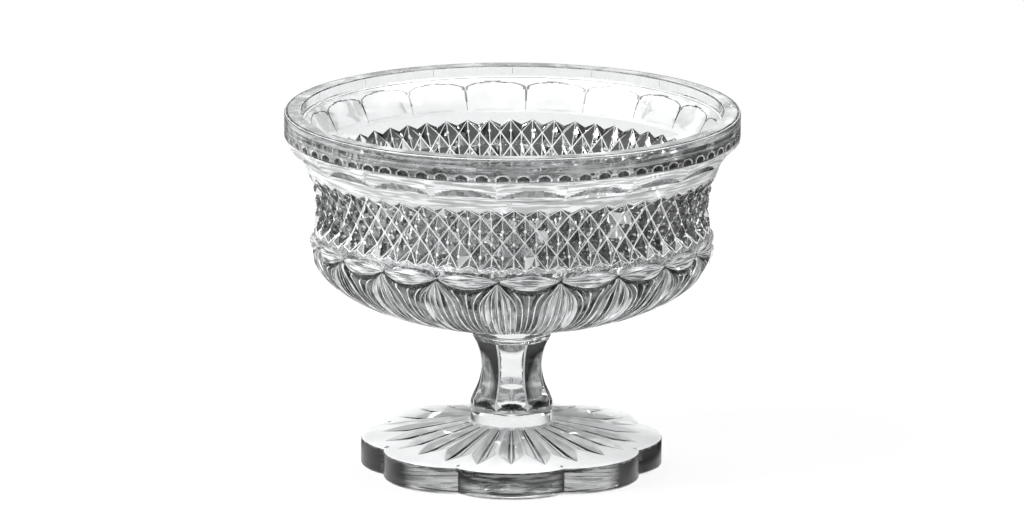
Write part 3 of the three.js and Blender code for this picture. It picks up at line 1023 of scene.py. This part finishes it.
@dataclass
class Mouth:
    """The rim's band, its flat top, the ledge inside it and the smooth inner wall, in millimetres.

    arch_points are the shares of a panel, from its side to its middle, where the inner wall's
    painted shade lines of the flutes' arches are drawn. Plain tenths in a band's places keep its
    rings clear of the rounds beside it.
    """

    band_bottom: float = 135.9
    band_lip: float = 0.12
    rim_top: float = 145.0
    rim_radius: float = 91.0
    rim_round: float = 1.0
    inner_round: float = 0.45
    round_rings: int = 7
    radius: float = 84.1
    step: float = 4.2
    ledge: float = 1.3
    flare: float = 2.6
    waist_radius: float = 71.2
    waist_level: float = 99.9
    belly_level: float = 90.0
    floor: float = 66.8
    floor_shape: float = 2.2
    columns: int = 240
    # The half ellipses on the band, a painted reflection of the diamonds, with a core of painted shade.
    moons: int = 70
    moon_points: int = 12
    moon_half_width: float = 0.38
    moon_height: float = 2.6
    moon_core: float = 0.64
    ticks: int = 16
    tick_width: float = 0.005
    painted_light_down_to: float = 127.5
    arch_foot: float = 129.0
    arch_top: float = 139.2
    arch_squareness: float = 14.0
    arch_points: tuple[float, ...] = (0.0, 0.012, 0.024, 0.04, 0.06, 0.085, 0.115,
                                      0.15, 0.19, 0.24, 0.32, 0.42, 0.5)
    line_at_foot: float = 0.006
    line_widens: float = 0.02

    @property
    def ledge_level(self) -> float:
        """Height of the ledge."""
        return self.rim_top - self.step

    def add_band(self, skin: Skin) -> None:
        """Adds the band's outside in painted streaks of shade, with painted half ellipses, a painted
        reflection of the diamonds: a core of painted shade in a painted pale outline.

        Args:
            skin: The bowl's skin so far.
        """
        share = np.linspace(0, 1, self.moon_points, endpoint=False)[None, :]
        low = np.linspace(0, self.moon_height, 8)[:, None]
        out = ((share - 0.5) / self.moon_half_width) ** 2 + (low[:-1] / self.moon_height) ** 2
        chart = np.where(out < 1, Finish.LAND.value, Finish.BAND.value)
        chart[out < self.moon_core] = Finish.DARK.value
        skin.panels(share, self.rim_radius - self.band_lip * (low == 0), self.band_bottom + low,
                    Finish.BAND, chart, self.moons, 0.0)
        skin.band(circle(self.columns), self.rim_radius,
                  stacked(self.rim_top - 3.0, self.rim_top - self.rim_round - 0.3), Finish.BAND)

    def add_rim(self, skin: Skin) -> None:
        """Adds the rim's rounded outer edge, its flat top and the upright wall with its ticks of
        painted shade; the rounds and the top carry thin lines of painted shade and painted highlight.

        Args:
            skin: The bowl's skin so far.
        """
        ring, small = circle(self.columns), self.inner_round
        inset, fall = rounding(self.round_rings)
        # The outer round and the top's outer edge take thin painted shade and highlight lines, the top
        # painted light, and the inner round painted shade.
        skin.band(ring, self.rim_radius - self.rim_round * inset, self.rim_top - self.rim_round * fall,
                  Finish.BAND, by_row(Finish.BAND, Finish.BAND, Finish.SHADE, Finish.CREST,
                                      Finish.SHADE, Finish.SHADE))
        brink = self.rim_radius - self.rim_round
        skin.band(ring, stacked(brink - 0.1, brink - 0.5, self.radius + small + 0.1), self.rim_top,
                  Finish.SHADE, by_row(Finish.SHADE, Finish.LAND))
        skin.band(ring, self.radius + small * fall, self.rim_top - small * inset, Finish.CREST,
                  by_row(Finish.SHADE))
        share = stacked(0.0, self.tick_width, np.linspace(0.07, 0.93, 13)).T
        level = stacked(self.rim_top - small - 0.1, self.rim_top - small - 0.3, self.ledge_level + 1.0,
                        self.ledge_level + 0.4)
        chart = np.full((3, share.shape[1]), Finish.CLEAR.value)
        chart[1, 0] = Finish.SHADE.value
        skin.panels(share, self.radius, level, Finish.CLEAR, chart, self.ticks, 0.0)
        skin.band(ring, stacked(self.radius, self.radius - 0.25),
                  stacked(self.ledge_level + 0.3, self.ledge_level), Finish.CLEAR)
        # The ledge's round is painted light with a painted shade line.
        skin.band(ring, self.radius - self.ledge + small * fall, self.ledge_level - small * inset,
                  Finish.PETAL, by_row(*[Finish.PETAL] * 4, *[Finish.SHADE] * 2))

    def arch_chart(self, share: np.ndarray, height: np.ndarray) -> np.ndarray:
        """Finish numbers of one panel of the inner wall, painted light, with a painted shade line where
        a flute's arch shows through the glass.

        The line leaves the divider as a high power of the height, so that its corners are nearly
        square, and it is drawn both where it climbs and where it runs level.

        Args:
            share: Shares of the pitch, shaped (1, points).
            height: Heights of the rings, shaped (rings, 1).

        Returns:
            Finish numbers shaped (rings - 1, points).
        """
        climb = np.clip((height - self.arch_foot) / (self.arch_top - self.arch_foot), 0.0, 1.0)
        off = np.minimum(share, 1 - share)
        room = self.line_at_foot + self.line_widens * climb
        upright = np.abs(off - 0.5 * climb ** self.arch_squareness) < room
        level = np.abs((2 * off) ** (1 / self.arch_squareness) - climb) < self.line_widens
        line = (upright | level) & (climb > 0) & (height < self.arch_top + 0.2)
        return np.where(line, Finish.SHADE.value, Finish.MOUTH.value)[:-1]

    def add_inside(self, skin: Skin) -> None:
        """Adds the inner wall and the floor.

        The wall narrows from the ledge to the waist as a power of the height, and the floor is a
        superellipse.

        Args:
            skin: The bowl's skin so far.
        """
        ring, inner = circle(self.columns), self.radius - self.ledge
        points = np.array(self.arch_points)
        share = stacked(points, 1 - points[-2:0:-1]).T
        height = stacked(np.linspace(self.ledge_level - 0.6, self.arch_top - 1.6, 13),
                         np.linspace(self.arch_top - 2.0, self.painted_light_down_to, 10))
        up = (height - self.waist_level) / (self.ledge_level - self.waist_level)
        # From the ledge down the wall is painted light, with painted shade lines of the flutes' arches.
        skin.panels(share, blend(self.waist_radius, inner, up ** self.flare), height, Finish.MOUTH,
                    self.arch_chart(share, height))
        up = np.linspace(up[-1, 0] - 0.03, 0, 14)[:, None]
        skin.band(ring, blend(self.waist_radius, inner, up ** self.flare),
                  blend(self.waist_level, self.ledge_level, up), Finish.CLEAR)
        power = 2 / self.floor_shape
        down = np.radians(np.linspace(0, 88, 22))[:, None]
        skin.band(ring, self.waist_radius * np.cos(down) ** power,
                  blend(self.belly_level, self.floor, np.sin(down) ** power), Finish.CLEAR)
        skin.pole(self.floor, Finish.CLEAR)

    def add_to(self, skin: Skin) -> None:
        """Adds the outside of the band, the rim and the inside down to the middle of the floor."""
        self.add_band(skin)
        self.add_rim(skin)
        self.add_inside(skin)


@dataclass
class Bowl:
    """The cup: its base, the bands of its outside, the rim and the inside, in millimetres."""

    base: float = 57.0
    base_radius: float = 17.0
    base_raise: float = 1.2
    base_bevel: float = 0.6
    base_columns: int = 160
    strip_columns: int = 400
    leaves: Leaves = field(default_factory=Leaves)
    ovals: Ovals = field(default_factory=Ovals)
    diamonds: Diamonds = field(default_factory=Diamonds)
    flutes: Flutes = field(default_factory=Flutes)
    mouth: Mouth = field(default_factory=Mouth)

    def build(self) -> bpy.types.Object:
        """Makes the bowl's one closed skin, from the base disc over the rim to the floor.

        Returns:
            The bowl.
        """
        skin = Skin()
        joint = circle(JOINT_POINTS)
        skin.pole(self.base, Finish.JOINT)
        skin.band(joint, JOINT_RADIUS, self.base, Finish.JOINT)
        skin.band(joint, self.base_radius - self.base_bevel, self.base, Finish.SATIN)
        skin.band(circle(self.base_columns), self.base_radius, self.base + self.base_raise,
                  Finish.SATIN)
        self.leaves.add_to(skin, self.ovals)
        self.ovals.add_to(skin)
        strip = stacked(self.diamonds.bottom - 0.8, self.diamonds.bottom - 0.4)
        skin.band(circle(self.strip_columns), self.diamonds.neck(strip), strip, Finish.SATIN)
        self.diamonds.add_to(skin)
        self.flutes.add_to(skin, self.diamonds)
        self.mouth.add_to(skin)
        return skin.make("bowl_glass")


class Sock:
    """One output socket of a node tree, with arithmetic that adds Math nodes."""

    def __init__(self, tree: "Tree", socket: bpy.types.NodeSocket) -> None:
        """Wraps a socket of a tree."""
        self.tree = tree
        self.socket = socket

    def __add__(self, other: "Sock | float") -> "Sock":
        """self + other."""
        return self.tree.maths("ADD", self, other)

    __radd__ = __add__

    def __mul__(self, other: "Sock | float") -> "Sock":
        """self * other."""
        return self.tree.maths("MULTIPLY", self, other)

    __rmul__ = __mul__

    def __sub__(self, other: "Sock | float") -> "Sock":
        """self - other."""
        return self.tree.maths("SUBTRACT", self, other)

    def __rsub__(self, other: "Sock | float") -> "Sock":
        """other - self."""
        return self.tree.maths("SUBTRACT", other, self)

    def __truediv__(self, other: "Sock | float") -> "Sock":
        """self / other."""
        return self.tree.maths("DIVIDE", self, other)


class Tree:
    """The node tree of a material or of the world."""

    def __init__(self, owner: bpy.types.Material | bpy.types.World) -> None:
        """Empties the owner's node tree and wraps it.

        Args:
            owner: The material or world.
        """
        owner.use_nodes = True
        self.nodes = owner.node_tree.nodes
        self.links = owner.node_tree.links
        self.nodes.clear()

    def node(self, kind: str, settings: dict | None = None,
             inputs: dict | None = None) -> bpy.types.Node:
        """Adds any node.

        Args:
            kind: The node's type.
            settings: Its own settings, which are set first.
            inputs: Values or Socks by the input's name or number.

        Returns:
            The node.
        """
        made = self.nodes.new(kind)
        for name, value in (settings or {}).items():
            setattr(made, name, value)
        for name, value in (inputs or {}).items():
            if isinstance(value, Sock):
                self.links.new(value.socket, made.inputs[name])
            else:
                made.inputs[name].default_value = value
        return made

    def out(self, node: bpy.types.Node, name: str | int = 0) -> Sock:
        """One output of a node."""
        return Sock(self, node.outputs[name])

    def maths(self, operation: str, *values: Sock | float) -> Sock:
        """Adds a Math node on values or sockets."""
        return self.out(self.node("ShaderNodeMath", {"operation": operation}, dict(enumerate(values))))

    def vector_maths(self, operation: str, *values: Sock | tuple) -> bpy.types.Node:
        """Adds a Vector Math node, and gives the node itself, as its outputs differ by operation."""
        return self.node("ShaderNodeVectorMath", {"operation": operation}, dict(enumerate(values)))

    def smooth(self, value: Sock, low: float, high: float, first: float = 0.0,
               last: float = 1.0) -> Sock:
        """Eases from the first result to the last while a value goes from low to high."""
        return self.out(self.node("ShaderNodeMapRange", {"interpolation_type": "SMOOTHSTEP"}, {
            "Value": value, "From Min": low, "From Max": high, "To Min": first, "To Max": last}))

    def end_mixed(self, share: Sock, first: bpy.types.Node, second: bpy.types.Node) -> None:
        """Ends a material in a share of the second shader over the first."""
        ends = {0: share, 1: self.out(first), 2: self.out(second)}
        mixed = self.node("ShaderNodeMixShader", None, ends)
        self.node("ShaderNodeOutputMaterial", None, {"Surface": self.out(mixed)})

    def place(self, space: str = "Object") -> Sock:
        """Texture coordinates of one kind."""
        return self.out(self.node("ShaderNodeTexCoord"), space)

    def noise(self, place: Sock, scale: float, detail: float = 2.0, roughness: float = 0.5) -> Sock:
        """Noise over a place, with so many waves to its unit."""
        return self.out(self.node("ShaderNodeTexNoise", None, {
            "Vector": place, "Scale": scale, "Detail": detail, "Roughness": roughness}))

    def mix_colour(self, share: Sock | float, first: Sock | tuple, second: Sock | tuple) -> Sock:
        """A colour between two others, each of them a socket or three numbers."""
        ends = [end if isinstance(end, Sock) else (*end, 1.0) for end in (first, second)]
        made = self.node("ShaderNodeMix", {"data_type": "RGBA"}, {0: share, 6: ends[0], 7: ends[1]})
        return self.out(made, 2)


def grey(level: float) -> tuple[float, float, float]:
    """A grey with the faint coolness of crystal."""
    return (level * 0.985, level, level * 1.005)


@dataclass(frozen=True)
class Body:
    """A finish's clear glass: relief as waves and grain in millimetres, roughness, tints and IOR."""

    wave: float
    grain: float
    roughness: float
    tint: float
    shade: float
    ior: float = 1.53


@dataclass(frozen=True)
class PaintedShading:
    """The painted light and shade over that glass, a diffuse coat: its share, its darkest and palest
    painted grey and its mottling's scale.

    The scale counts waves to the metre, or to a column and a ring of the skin where the mottling
    runs along its grain.
    """

    share: float
    dark: float
    pale: float
    scale: tuple[float, float, float] = (900.0, 900.0, 900.0)
    along_grain: bool = False


@dataclass(frozen=True)
class Crystal:
    """Crystal with the faint unevenness of its making, under a diffuse coat of painted light and shade.

    The coat's dark greys are painted shade and its pale ones painted light and highlights, in place
    of what the glass bends and reflects. It shows from outside only, and inside_line is what is left
    of it from within, as a painted dark line. turned_range keeps it to glass seen at a slant, and
    flank_range paints it darker there as painted shade, both as Layer Weight's Facing. sparkle
    scatters painted glints as bright flecks, and it and the waves are counts to the metre. A ramp
    says where a noise starts and ends its change, and smoothest is the least share of the roughness.
    """

    name: str
    body: Body
    painted_shading: PaintedShading
    turned_range: tuple[float, float] | None = None
    flank_range: tuple[float, float] | None = None
    inside_line: float = 0.0
    sparkle: float = 0.0
    slow_waves: float = 160.0
    fine_waves: float = 1100.0
    shade_ramp: tuple[float, float] = (0.35, 0.7)
    rough_ramp: tuple[float, float] = (0.45, 0.8)
    smoothest: float = 0.4
    even_ramp: tuple[float, float] = (0.4, 0.65)
    streak_ramp: tuple[float, float] = (0.45, 0.57)
    painted_glint_ramp: tuple[float, float] = (0.63, 0.68)
    painted_glint_grey: float = 0.98
    flank_share: float = 0.96
    deep_grey: float = 0.02
    painted_shading_roughness: float = 0.25

    def material(self) -> bpy.types.Material:
        """Makes the finish: glass under its painted light and shade, joined by a Mix Shader.

        Returns:
            The material.
        """
        made = bpy.data.materials.new(self.name)
        tree = Tree(made)
        slow = tree.noise(tree.place(), self.slow_waves)
        fine = tree.noise(tree.place(), self.fine_waves, 3.0, 0.6)
        bump = tree.out(tree.node("ShaderNodeBump", None, {
            "Height": slow * self.body.wave + fine * self.body.grain, "Strength": 1.0, "Distance": MM}))
        glass = tree.node("ShaderNodeBsdfPrincipled", None, {
            "Base Color": tree.mix_colour(tree.smooth(slow, *self.shade_ramp), grey(self.body.tint),
                                          grey(self.body.shade)),
            "Roughness": tree.smooth(fine, *self.rough_ramp, self.body.roughness * self.smoothest,
                                     self.body.roughness),
            "Normal": bump, "IOR": self.body.ior, "Transmission Weight": 1.0,
            "Specular IOR Level": 0.5})
        turned = tree.out(tree.node("ShaderNodeLayerWeight", None, {"Blend": 0.5}), "Facing")
        inside = tree.out(tree.node("ShaderNodeNewGeometry"), "Backfacing")
        # deep is where the painted coat turns near black: seen from within the glass, and at a slant as
        # painted shade.
        deep, share = inside, self.painted_shading.share
        if self.flank_range:
            flank = tree.smooth(turned, *self.flank_range)
            deep = tree.maths("MAXIMUM", flank, inside)
            share = flank * (self.flank_share - self.painted_shading.share) + self.painted_shading.share
        share = (1.0 - inside) * share
        if self.inside_line:
            share = share + inside * self.inside_line
        if self.turned_range:
            share = share * tree.smooth(turned, *self.turned_range)
        # The painted light and shade: a diffuse coat whose greys stand in for what the glass bends and
        # reflects.
        painted_shading = tree.node("ShaderNodeBsdfPrincipled", None, {
            "Base Color": tree.mix_colour(deep, self.mottling(tree), grey(self.deep_grey)),
            "Roughness": self.painted_shading_roughness, "Specular IOR Level": 0.3, "Normal": bump})
        tree.end_mixed(share, glass, painted_shading)
        return made

    def mottling(self, tree: Tree) -> Sock:
        """The painted coat's colour: noise between its two greys, crisper along the grain, with painted
        glints.

        Args:
            tree: The finish's node tree.

        Returns:
            The colour.
        """
        if self.painted_shading.along_grain:
            place = tree.out(tree.node("ShaderNodeAttribute", {"attribute_name": "grain"}), "Vector")
        else:
            place = tree.place()
        mottle = tree.noise(tree.out(tree.vector_maths("MULTIPLY", place, self.painted_shading.scale)), 1.0)
        ramp = self.streak_ramp if self.painted_shading.along_grain else self.even_ramp
        colour = tree.mix_colour(tree.smooth(mottle, *ramp), grey(self.painted_shading.dark), grey(self.painted_shading.pale))
        if self.sparkle:
            # Painted glints: bright flecks scattered over the coat.
            painted_glint = tree.smooth(tree.noise(tree.place(), self.sparkle, 1.0), *self.painted_glint_ramp)
            colour = tree.mix_colour(painted_glint, colour, grey(self.painted_glint_grey))
        return colour


@dataclass(frozen=True)
class FusedJoint:
    """The face where two pieces are fused, which has no surface of its own."""

    name: str = "fused_joint"

    def material(self) -> bpy.types.Material:
        """Makes the joint wholly clear.

        Returns:
            The material.
        """
        made = bpy.data.materials.new(self.name)
        tree = Tree(made)
        clear = tree.node("ShaderNodeBsdfTransparent")
        tree.node("ShaderNodeOutputMaterial", None, {"Surface": tree.out(clear)})
        return made


CUT = Body(0.010, 0.003, 0.08, 0.92, 0.80)
POLISHED = Body(0.004, 0.001, 0.05, 0.97, 0.94)
GLOSSY = Body(0.004, 0.001, 0.05, 0.97, 0.93)
# The coats below are painted light and shade in place of what the glass bends and reflects. The facet,
# rib, band, wall, shade and dark coats are painted shade, the wall and flank ones darker at a slant;
# crest, line and ridge are painted highlight lines, leaf painted streaks of light and shade; petal,
# gloss, mouth, land and strip are painted light; satin and boss are painted greys of both; clear has a
# faint painted grey, and the facets' sparkle is painted glints.
FINISHES = {
    Finish.FACET: Crystal("crystal_facet", CUT, PaintedShading(0.60, 0.02, 0.13), sparkle=650.0),
    Finish.RIB: Crystal("crystal_rib", CUT, PaintedShading(0.68, 0.01, 0.52, (0.45, 0.09, 1.0), True)),
    Finish.SATIN: Crystal("crystal_satin_and_painted_shading", Body(0.012, 0.004, 0.10, 0.97, 0.92),
                          PaintedShading(0.35, 0.25, 0.90)),
    Finish.CREST: Crystal("crystal_crest", POLISHED, PaintedShading(0.90, 0.88, 0.96)),
    Finish.BAND: Crystal("crystal_band", Body(0.006, 0.002, 0.10, 0.92, 0.84),
                         PaintedShading(0.55, 0.05, 0.44, (28.0, 28.0, 900.0))),
    Finish.WALL: Crystal("crystal_wall", Body(0.006, 0.002, 0.08, 0.92, 0.80),
                         PaintedShading(0.55, 0.03, 0.38, (90.0, 90.0, 700.0)), flank_range=(0.15, 0.36)),
    Finish.CLEAR: Crystal("crystal_clear", Body(0.006, 0.0008, 0.012, 0.985, 0.96, 1.50),
                          PaintedShading(0.02, 0.3, 0.5)),
    Finish.JOINT: FusedJoint(),
    Finish.PETAL: Crystal("crystal_petal", Body(0.006, 0.001, 0.03, 0.985, 0.96, 1.50),
                          PaintedShading(0.92, 0.91, 0.99, (60.0, 60.0, 60.0))),
    Finish.SHADE: Crystal("crystal_shade", Body(0.006, 0.002, 0.06, 0.92, 0.80),
                          PaintedShading(0.72, 0.01, 0.20, (0.45, 0.09, 1.0), True)),
    Finish.GLOSS: Crystal("crystal_gloss_and_painted_light", GLOSSY, PaintedShading(0.78, 0.50, 0.99, (0.12, 0.5, 1.0), True)),
    Finish.FLANK: Crystal("crystal_flank", GLOSSY, PaintedShading(0.62, 0.30, 0.75, (500.0, 500.0, 90.0)),
                          turned_range=(0.12, 0.26), flank_range=(0.265, 0.36)),
    Finish.BOSS: Crystal("crystal_boss", Body(0.006, 0.002, 0.06, 0.96, 0.90),
                         PaintedShading(0.66, 0.16, 0.88, (0.14, 0.9, 1.0), True)),
    Finish.LINE: Crystal("crystal_line", POLISHED, PaintedShading(0.90, 0.88, 0.96), inside_line=0.3),
    Finish.MOUTH: Crystal("crystal_mouth", Body(0.003, 0.0005, 0.03, 0.985, 0.97, 1.50),
                          PaintedShading(0.66, 0.84, 0.99, (50.0, 50.0, 50.0))),
    Finish.LAND: Crystal("crystal_land", Body(0.004, 0.001, 0.03, 0.985, 0.96, 1.50),
                         PaintedShading(0.50, 0.50, 0.95, (60.0, 60.0, 60.0))),
    Finish.LEAF: Crystal("crystal_leaf", Body(0.008, 0.003, 0.06, 0.96, 0.88),
                         PaintedShading(0.64, 0.10, 0.98, (0.40, 0.10, 1.0), True)),
    Finish.RIDGE: Crystal("crystal_ridge", POLISHED, PaintedShading(0.90, 0.55, 0.99, (0.15, 0.35, 1.0), True)),
    Finish.STRIP: Crystal("crystal_strip", Body(0.004, 0.001, 0.03, 0.98, 0.95, 1.50),
                          PaintedShading(0.74, 0.66, 0.99, (0.55, 0.10, 1.0), True)),
    Finish.DARK: Crystal("crystal_dark", Body(0.004, 0.001, 0.05, 0.90, 0.80),
                         PaintedShading(0.88, 0.005, 0.06)),
}


@dataclass(frozen=True)
class Softbox:
    """A lamp that faces the bowl, in metres and watts.

    Its azimuth counts from the front towards +X and its elevation from the horizon, in degrees.
    """

    name: str
    azimuth: float
    elevation: float
    distance: float
    size: tuple[float, float]
    power: float
    seen_through: bool = True

    def hang(self, target: Vector) -> None:
        """Hangs the lamp, hidden from the camera.

        Args:
            target: The point that it faces.
        """
        light = bpy.data.lights.new(self.name, "AREA")
        light.shape = "RECTANGLE"
        light.size, light.size_y = self.size
        light.energy = self.power
        lamp = bpy.data.objects.new(self.name, light)
        turn, lift = math.radians(self.azimuth), math.radians(self.elevation)
        level = math.cos(lift)
        away = Vector((math.sin(turn) * level, -math.cos(turn) * level, math.sin(lift)))
        lamp.location = away * self.distance + target
        lamp.rotation_mode = "QUATERNION"
        lamp.rotation_quaternion = away.to_track_quat("Z", "Y")
        lamp.visible_camera = False
        lamp.visible_transmission = self.seen_through
        bpy.context.scene.collection.objects.link(lamp)


@dataclass
class Studio:
    """The pale floor, the light tent, the softboxes and the camera, in metres and radians.

    The levels are strengths as the glass sees them, where 1 is white. The panels are azimuths in
    degrees behind which the tent is white. Pairs are where a change starts and where it ends.
    """

    floor_radius: float = 1.6
    floor_sides: int = 96
    floor_sinks: float = 0.0002
    paper_greys: tuple[float, float] = (0.90, 0.93)
    paper_roughness: float = 0.9
    paper_mottle: float = 60.0
    floor_glow: float = 0.8
    glow_range: tuple[float, float] = (0.3, 0.8)
    # Through the glass the floor shows a painted shadow at near_level in a ring from near_from to
    # near_to, and inside near_from, under the foot, a painted pool of white light; side_level is also
    # the floor's painted shade elsewhere.
    near_level: float = 0.05
    near_from: tuple[float, float] = (0.066, 0.076)
    near_to: tuple[float, float] = (0.14, 0.24)
    overhead_range: tuple[float, float] = (0.12, 0.25)
    overhead_level: float = 0.05
    side_level: float = 0.12
    panels: tuple[float, ...] = (45.0, 180.0, 225.0, 270.0)
    panel_spread: tuple[float, float] = (math.cos(math.radians(14)), math.cos(math.radians(8)))
    panel_half_widths: tuple[float, float] = (0.018, 0.11)
    panel_widens: tuple[float, float] = (0.2, 0.34)
    panel_fan: float = 0.1
    panel_blur: float = 0.012
    panel_start: float = 0.05
    softboxes: tuple[Softbox, ...] = (
        Softbox("softbox_left", -70, 48, 1.5, (0.9, 0.9), 29.0),
        Softbox("softbox_right", 80, 50, 1.6, (0.7, 0.7), 20.0, seen_through=False),
        Softbox("softbox_back", 170, 60, 1.5, (0.8, 0.5), 8.0))
    eye_height: float = 0.0812
    eye_elevation: float = math.radians(13.3)
    eye_distance: float = 3.6
    eye_roll: float = math.radians(0.21)
    view_width: float = 0.4096
    sensor_width: float = 36.0

    @property
    def target(self) -> Vector:
        """The point on the bowl's axis that camera and lamps face."""
        return Vector((0, 0, self.eye_height))

    def floor(self) -> None:
        """Lays the floor: a pale disc that keeps the shadow on it and shows white through the glass."""
        mesh = bpy.data.meshes.new("floor")
        angle = circle(self.floor_sides)
        points = np.stack((np.sin(angle), -np.cos(angle), 0 * angle), axis=-1) * self.floor_radius
        mesh.from_pydata(points.tolist(), [], [list(range(self.floor_sides))])
        floor = bpy.data.objects.new("floor", mesh)
        floor.location.z = -self.floor_sinks
        bpy.context.scene.collection.objects.link(floor)
        mesh.materials.append(self.floor_paper())

    def floor_paper(self) -> bpy.types.Material:
        """Makes the floor's material: paper that glows white for the camera with distance.

        Through the glass it shows a painted pool of white light under the foot and a strip of it under
        each lit panel, a painted shadow in a ring round the bowl, and painted shade elsewhere.

        Returns:
            The material.
        """
        made = bpy.data.materials.new("floor_paper")
        tree = Tree(made)
        low, high = ((level,) * 3 for level in self.paper_greys)
        colour = tree.mix_colour(tree.noise(tree.place(), self.paper_mottle, 4.0), low, high)
        paper = tree.node("ShaderNodeBsdfPrincipled", None, {
            "Base Color": colour, "Roughness": self.paper_roughness, "Specular IOR Level": 0.0})
        path = tree.node("ShaderNodeLightPath")
        through = tree.maths("MAXIMUM", tree.out(path, "Is Glossy Ray"),
                             tree.out(path, "Is Transmission Ray"))
        place = tree.place()
        away = tree.out(tree.vector_maths("LENGTH", place), "Value")
        near = tree.smooth(away, *self.near_from) * tree.smooth(away, *self.near_to, 1.0, 0.0)
        axes = tree.node("ShaderNodeSeparateXYZ", None, {0: place})
        lit = self.floor_panels(tree, tree.out(axes, 0), tree.out(axes, 1))
        lit = tree.maths("MAXIMUM", lit, tree.smooth(away, *self.near_from, 1.0, 0.0))
        aside = self.side_level - near * (self.side_level - self.near_level)
        level = (1.0 - through) + through * (lit * (1.0 - aside) + aside)
        white = tree.node("ShaderNodeEmission", None, {
            "Color": tree.mix_colour(level, (0.0, 0.0, 0.0), (1.0, 1.0, 1.0)), "Strength": 1.0})
        glow = tree.smooth(away, *self.glow_range, self.floor_glow, 1.0)
        seen = tree.maths("MAXIMUM", tree.out(path, "Is Camera Ray") * glow, through)
        tree.end_mixed(seen, paper, white)
        return made

    def floor_panels(self, tree: Tree, x: Sock, y: Sock) -> Sock:
        """Where the floor shows white through the glass: a widening strip under each lit panel, a
        painted pool of light.

        Args:
            tree: The floor's node tree.
            x: First coordinate on the floor.
            y: Second coordinate.

        Returns:
            1 on a strip and 0 off it, with soft sides.
        """
        lit: Sock | float = 0.0
        for azimuth in map(math.radians, self.panels):
            along = x * math.sin(azimuth) - y * math.cos(azimuth)
            aside = tree.maths("ABSOLUTE", x * math.cos(azimuth) + y * math.sin(azimuth))
            half = tree.smooth(along, *self.panel_widens, *self.panel_half_widths)
            inward = half + along * self.panel_fan - aside
            strip = tree.smooth(inward, -self.panel_blur, self.panel_blur)
            begun = tree.smooth(along, 0.0, self.panel_start)
            lit = tree.maths("MAXIMUM", lit, strip * begun)
        return lit

    def tent(self) -> None:
        """Sets the world: white panels low on the horizon behind each usual view, and grey between.

        Whatever is seen straight through the glass is white, and what is bent aside is grey.
        """
        world = bpy.data.worlds.new("tent")
        bpy.context.scene.world = world
        tree = Tree(world)
        axes = tree.node("ShaderNodeSeparateXYZ", None, {0: tree.place("Generated")})
        x, y, z = (tree.out(axes, i) for i in range(3))
        level = tree.maths("SQRT", x * x + y * y)
        lit: Sock | float = 0.0
        for azimuth in map(math.radians, self.panels):
            along = (x * math.sin(azimuth) - y * math.cos(azimuth)) / level
            lit = tree.maths("MAXIMUM", lit, tree.smooth(along, *self.panel_spread))
        low = lit * (1.0 - self.side_level) + self.side_level
        overhead = tree.smooth(z, *self.overhead_range)
        strength = low * (1.0 - overhead) + overhead * self.overhead_level
        seen = tree.out(tree.node("ShaderNodeLightPath"), "Is Camera Ray")
        light = tree.node("ShaderNodeBackground", None, {
            "Color": (1, 1, 1, 1), "Strength": seen + (1.0 - seen) * strength})
        tree.node("ShaderNodeOutputWorld", None, {"Surface": tree.out(light)})

    def camera(self) -> None:
        """Sets the camera: nearly level and far off, so that the view is almost without perspective."""
        data = bpy.data.cameras.new("camera")
        data.sensor_width = self.sensor_width
        data.lens = self.sensor_width * self.eye_distance / self.view_width
        camera = bpy.data.objects.new("camera", data)
        away = Vector((0, -math.cos(self.eye_elevation), math.sin(self.eye_elevation)))
        camera.location = self.target + away * self.eye_distance
        turn = away.to_track_quat("Z", "Y").to_matrix() @ Matrix.Rotation(self.eye_roll, 3, "Z")
        camera.rotation_euler = turn.to_euler()
        bpy.context.scene.collection.objects.link(camera)
        bpy.context.scene.camera = camera

    def build(self) -> None:
        """Sets up the whole studio."""
        self.floor()
        self.tent()
        for softbox in self.softboxes:
            softbox.hang(self.target)
        self.camera()
        bpy.context.scene.view_settings.view_transform = "Standard"


def dress(piece: bpy.types.Object, node: str, finishes: list[bpy.types.Material]) -> None:
    """Gives a piece its materials and puts it in the place of its CAD node.

    Args:
        piece: The new piece.
        node: Name of the CAD node that it stands for.
        finishes: Materials in the order of Finish, of which the piece gets those that it uses.
    """
    numbers = np.empty(len(piece.data.polygons), dtype=np.int32)
    piece.data.polygons.foreach_get("material_index", numbers)
    used, compact = np.unique(numbers, return_inverse=True)
    for number in used:
        piece.data.materials.append(finishes[number])
    piece.data.polygons.foreach_set("material_index", compact.astype(np.int32))
    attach(piece, ROOT)
    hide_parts(node)
    low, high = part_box(node)
    logger.info("%s stands for %s, %s to %s mm", piece.name, node,
                [round(v / MM, 1) for v in low], [round(v / MM, 1) for v in high])


def main() -> None:
    """Builds the bowl piece by piece, and then the studio round it."""
    logging.basicConfig(level=logging.INFO, format="%(message)s")
    finishes = [FINISHES[finish].material() for finish in Finish]
    for node, maker in (("foot", Foot()), ("stem", Stem()), ("wafer", Wafer()), ("bowl", Bowl())):
        dress(maker.build(), node, finishes)
    Studio().build()


if __name__ == "__main__":
    main()
